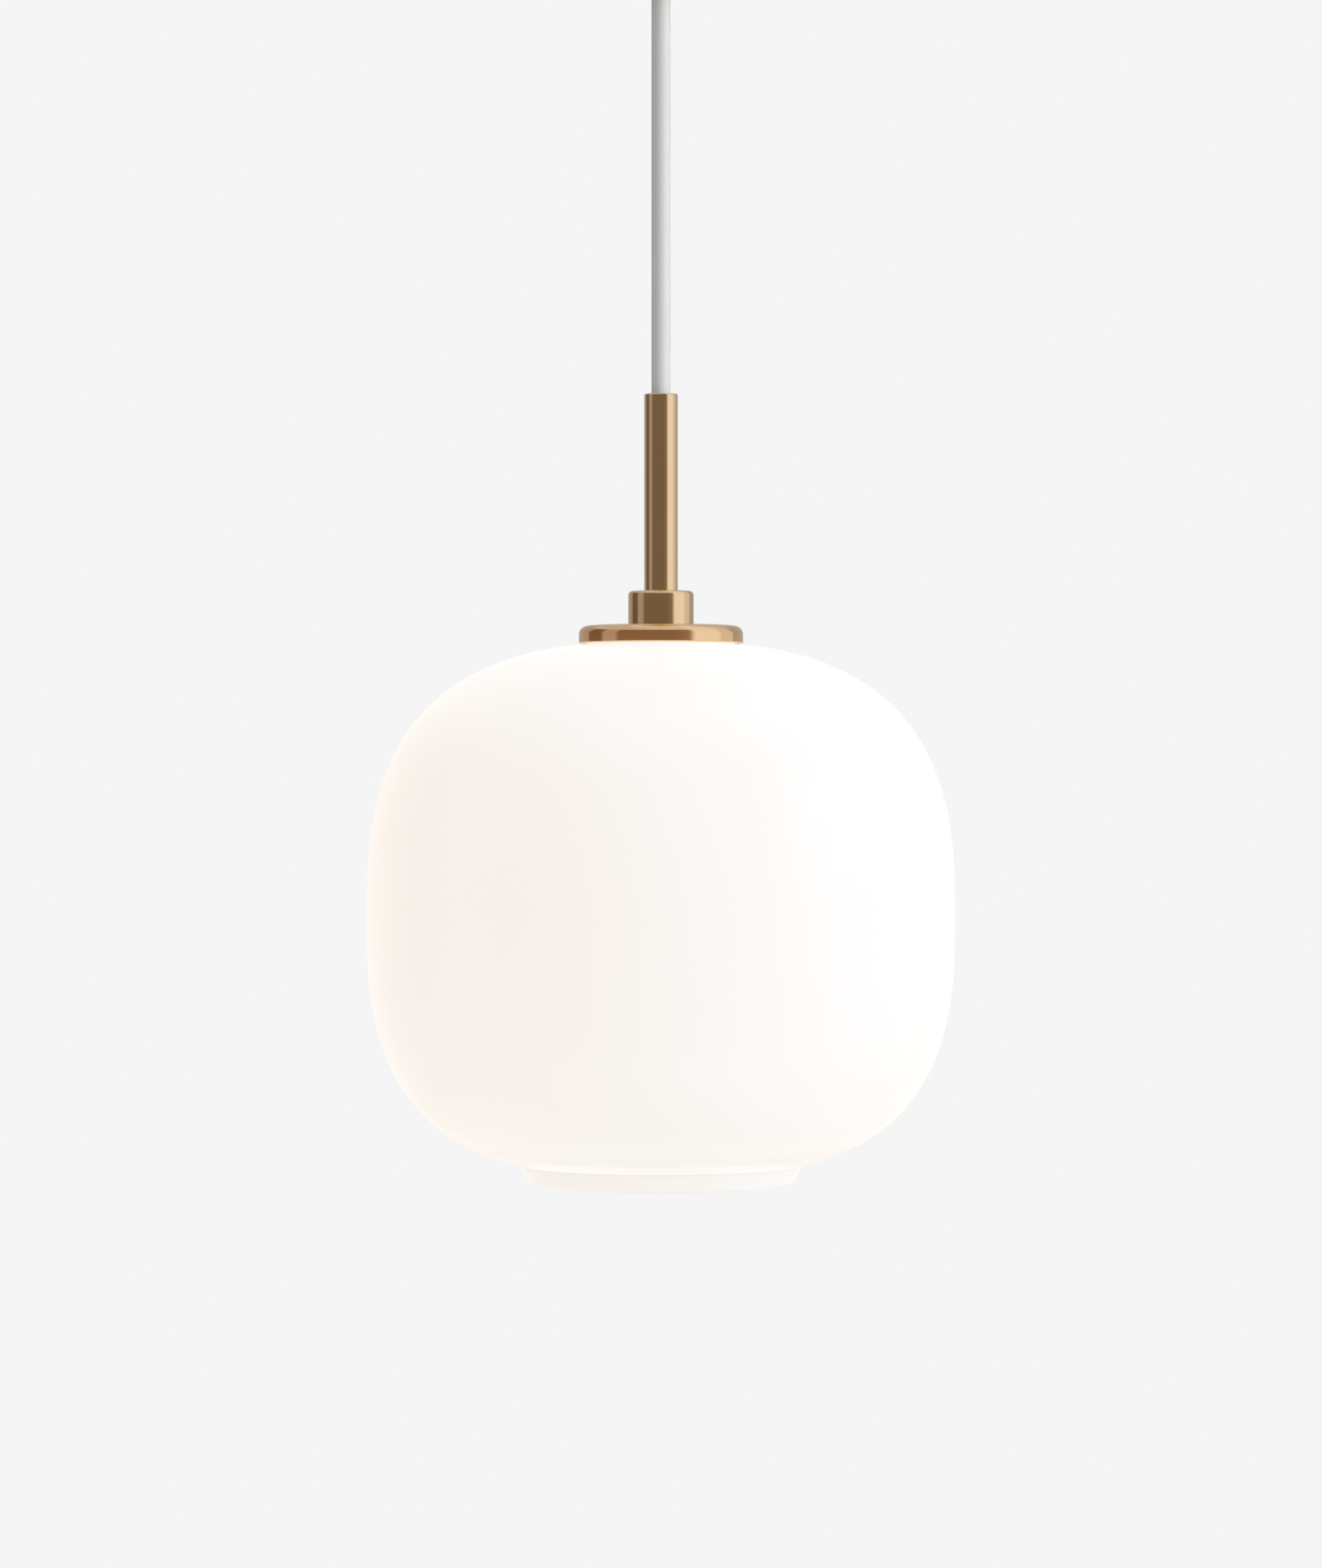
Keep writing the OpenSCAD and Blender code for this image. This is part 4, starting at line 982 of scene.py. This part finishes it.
def addBulbCap(shape):
    top, end = high("bulb_cap").z, low("bulb_cap").z
    threadTop = top - 0.0012
    threadEnd = threadTop - shape["turns"] * shape["pitch"]
    inner = shape["plain"] - shape["wall"]
    corners = [(0, top, 0), (shape["shoulder"], top, 0.0004)]
    corners += threadRows(shape["thread"], threadTop, threadEnd, shape["pitch"])
    corners += [(shape["plain"], threadEnd - 0.0003, 0.0002), (shape["plain"], end, 0),
                (inner, end, 0), (inner, threadTop, 0.0002), (0, threadTop, 0)]
    cap = spinOutline("bulbCap", roundedOutline(corners, 4), 144, 60)
    cutThread(cap, {"radius": shape["thread"], "top": threadTop + 0.0001,
                    "bottom": threadEnd - 0.0001, "pitch": shape["pitch"],
                    "depth": shape["depth"]})
    place(cap, "bulb", capMetal, "cap_metal", "bulb_cap")


addBulbCap(capShape)

insulatorCorners = [(0, high("bulb_insulator").z, 0), (0.0026, high("bulb_insulator").z, 0.0003),
                    (capShape["shoulder"], low("bulb_insulator").z, 0.0002),
                    (0, low("bulb_insulator").z, 0)]
place(spinOutline("bulbInsulator", roundedOutline(insulatorCorners, 6), 96), "bulb",
      blackInsulator, "black_insulator", "bulb_insulator")

tipOutline = ringOutline("bulb_tip", 0, high("bulb_tip").x, (0, 0.0009, 0.0001, 0), 8)
place(spinOutline("bulbTip", tipOutline, 64), "bulb", solder, "solder", "bulb_tip")

housingShape = {"wall": 0.0011, "boardGap": 0.00005}


def outlineSide(node, spacing):
    # the CAD solid's own outer radii, from the top down, read at its rings of points
    rings = {}
    for vert in nodes[node].data.vertices:
        key = round(vert.co.z / spacing)
        rings[key] = max(rings.get(key, (0, 0)), (math.hypot(vert.co.x, vert.co.y), vert.co.z))
    return [rings[key] for key in sorted(rings, reverse=True)]


def addHousing(shape):
    side = [row for row in outlineSide("bulb_housing", 0.0001) if row[0] > 0.001]
    top, end = high("bulb_housing").z, low("bulb_housing").z
    shelf = high("led_board").z
    hole = high("led_board").x + shape["boardGap"]
    topRow = max(side, key=lambda row: row[1])
    widest = max(side, key=lambda row: row[0])
    bends = [row for row in side if end + 0.003 < row[1] < top - 0.003
             and row[0] > topRow[0] + 0.001]
    bend = max(bends, key=lambda row: row[0])
    wall = shape["wall"]
    corners = [(0, top, 0), (topRow[0], top, 0.0006), (bend[0], bend[1], 0.02),
               (widest[0], end + 0.0006, 0.0003), (widest[0] - 0.0003, end, 0),
               (hole, end, 0.0001), (hole, shelf, 0), (bend[0] - wall, bend[1], 0.004),
               (topRow[0] - wall, top - wall, 0.0005), (0, top - wall, 0)]
    housing = spinOutline("bulbHousing", roundedOutline(corners, 12), 160)
    evenNormals(housing)
    place(housing, "bulb", bulbPlastic, "bulb_plastic", "bulb_housing")


addHousing(housingShape)


def addGlobe(wall):
    top, end = high("bulb_globe").z, low("bulb_globe").z
    widest = high("bulb_globe").x
    middle = end + widest
    rows = []
    for reach, turned in ((widest, 1), (widest - wall, -1)):
        first = math.acos((top - middle) / reach)
        line = [(reach * math.sin(t), middle + reach * math.cos(t), 0)
                for t in (first + (math.pi - first) * i / 72 for i in range(73))]
        line[-1] = (0, middle - reach, 0)
        rows += line[::turned]
    globe = spinOutline("bulbGlobe", roundedOutline(rows), 160, 50)
    place(globe, "bulb", globePlastic, "globe_plastic", "bulb_globe")


addGlobe(wall=0.0011)

placeCopies("bulb", ("bulbDriver", "bulb_driver", circuitBoard, "circuit_board", 0.0001),
            ("ledBoard", "led_board", boardAluminium, "board_aluminium", 0.0001),
            ("ledChips", "led_chips", ledPhosphor, "led_phosphor", 0.0001))
print("bulb is made")

# light and ground

white = 0.913

lamps = {
    "sideLight": {"at": (1.75, -0.93, 0.20), "size": (1.1, 1.6), "power": 41,
                  "colour": (0.965, 0.985, 1.0)},
    "farLight": {"at": (-1.9, -0.3, 0.25), "size": (1.0, 1.6), "power": 7,
                 "colour": (1.0, 0.985, 0.97)},
    "frontLight": {"at": (0.25, -2.3, 0.3), "size": (1.2, 1.2), "power": 7,
                   "colour": (1.0, 1.0, 0.99)},
    "topLight": {"at": (0.3, 0.2, 2.0), "size": (1.6, 1.6), "power": 11,
                 "colour": (1.0, 0.99, 0.97)},
    "backLight": {"at": (0.0, 2.1, 0.5), "size": (1.4, 1.4), "power": 8,
                  "colour": (1.0, 1.0, 1.0)},
}


def addLamp(name, look):
    data = bpy.data.lights.new(name, "AREA")
    data.shape = "RECTANGLE"
    data.size, data.size_y = look["size"]
    data.energy = look["power"]
    data.color = look["colour"]
    lamp = bpy.data.objects.new(name, data)
    lamp.location = look["at"]
    towards = Vector((0, 0, -0.28)) - Vector(look["at"])
    lamp.rotation_euler = towards.to_track_quat("-Z", "Y").to_euler()
    lamp.visible_camera = False
    lamp.visible_glossy = False
    scene.collection.objects.link(lamp)


for name, look in lamps.items():
    addLamp(name, look)


def addWorld(ambient):
    world = bpy.data.worlds.new("studio")
    world.use_nodes = True
    tree = world.node_tree
    output = tree.nodes["World Output"]
    soft = tree.nodes["Background"]
    soft.inputs["Color"].default_value = (ambient, ambient, ambient, 1)
    plainWhite = addNode(tree, "ShaderNodeBackground", {"Color": (white, white, white, 1)})
    ray = addNode(tree, "ShaderNodeLightPath").outputs
    seen = maths(tree, "MAXIMUM", ray["Is Camera Ray"], ray["Is Glossy Ray"])
    seen = maths(tree, "MAXIMUM", seen, ray["Is Transmission Ray"])
    mix = addNode(tree, "ShaderNodeMixShader", {"Fac": seen})
    tree.links.new(soft.outputs["Background"], mix.inputs[1])
    tree.links.new(plainWhite.outputs["Background"], mix.inputs[2])
    tree.links.new(mix.outputs["Shader"], output.inputs["Surface"])
    scene.world = world


addWorld(0.35)


def addFloor(level, radius):
    bm = bmesh.new()
    bmesh.ops.create_circle(bm, cap_ends=True, segments=96, radius=radius,
                            matrix=Matrix.Translation((0, 0, level)))
    floor = makePiece("floor", bm)
    material, tree, shader = finish("floorPaint", {
        "colour": (0.86, 0.86, 0.86), "shade": (0.84, 0.84, 0.84), "patch": 0.5,
        "rough": (0.7, 0.8), "grain": 0.02, "depth": 0.0001})
    shader.inputs["Emission Color"].default_value = (1, 1, 1, 1)
    shader.inputs["Emission Strength"].default_value = 0.28
    away = awayFromAxis(tree, places(tree)[0])[1]
    tree.links.new(spread(tree, away, 1, 0, radius * 0.45, radius * 0.97), shader.inputs["Alpha"])
    floor.data.materials.append(material)


addFloor(-2.2, 4.0)

# What the brass mirrors, by the angle round the light: 0 is in front, positive to its right.
darkBand, paleBand = (0.225, 0.175, 0.125), (1.07, 1.04, 1.04)
tentBands = [
    (-180, (0.48, 0.46, 0.45)), (-123, (0.44, 0.39, 0.37)), (-118, (0.175, 0.135, 0.095)),
    (-92, (0.175, 0.135, 0.095)), (-87, (0.475, 0.43, 0.40)), (-67, (0.46, 0.415, 0.385)),
    (-61, darkBand), (20, darkBand), (40, (0.30, 0.245, 0.18)), (49, paleBand), (88, paleBand),
    (93, (0.84, 0.78, 0.79)), (117, (0.82, 0.77, 0.78)), (122, (0.46, 0.44, 0.41)),
    (180, (0.48, 0.47, 0.46))]
# The roof's colours, by the same angle.
roofBands = [
    (-180, (0.70, 0.65, 0.64)), (-60, (0.68, 0.63, 0.62)), (-20, (0.80, 0.75, 0.73)),
    (35, (0.84, 0.79, 0.77)), (60, (1.02, 1.0, 0.99)), (95, (0.98, 0.95, 0.94)),
    (130, (0.70, 0.65, 0.64)), (180, (0.70, 0.65, 0.64))]
tentShape = {
    "radius": (1.35, 0.45),       # at the bottom and at the top
    "height": (-1.4, 0.8),
    "roofStart": (0.13, 0.26),    # where the walls turn into the roof
}


def addTent(walls, roof, shape):
    bottom, top = shape["height"]
    bm = bmesh.new()
    bmesh.ops.create_cone(bm, segments=96, radius1=shape["radius"][0],
                          radius2=shape["radius"][1], depth=top - bottom,
                          matrix=Matrix.Translation((0, 0, (top + bottom) / 2)))
    tent = makePiece("tent", bm)
    material = bpy.data.materials.new("tentCloth")
    material.use_nodes = True
    tree = material.node_tree
    tree.nodes.remove(tree.nodes["Principled BSDF"])
    part = places(tree)[1]
    turn = maths(tree, "ARCTAN2", part["X"], maths(tree, "MULTIPLY", part["Y"], -1.0))
    wallColour, roofColour = (
        colourRamp(tree, turn, [(math.radians(angle), colour) for angle, colour in bands])
        for bands in (walls, roof))
    share = spread(tree, part["Z"], 0, 1, *shape["roofStart"])
    glow = addNode(tree, "ShaderNodeEmission",
                   {"Color": blendColours(tree, share, wallColour, roofColour)})
    tree.links.new(glow.outputs["Emission"], tree.nodes["Material Output"].inputs["Surface"])
    tent.data.materials.append(material)
    tent.visible_camera = False
    tent.visible_diffuse = False
    tent.visible_shadow = False
    tent.visible_transmission = False


addTent(tentBands, roofBands, tentShape)
scene.view_settings.view_transform = "Standard"
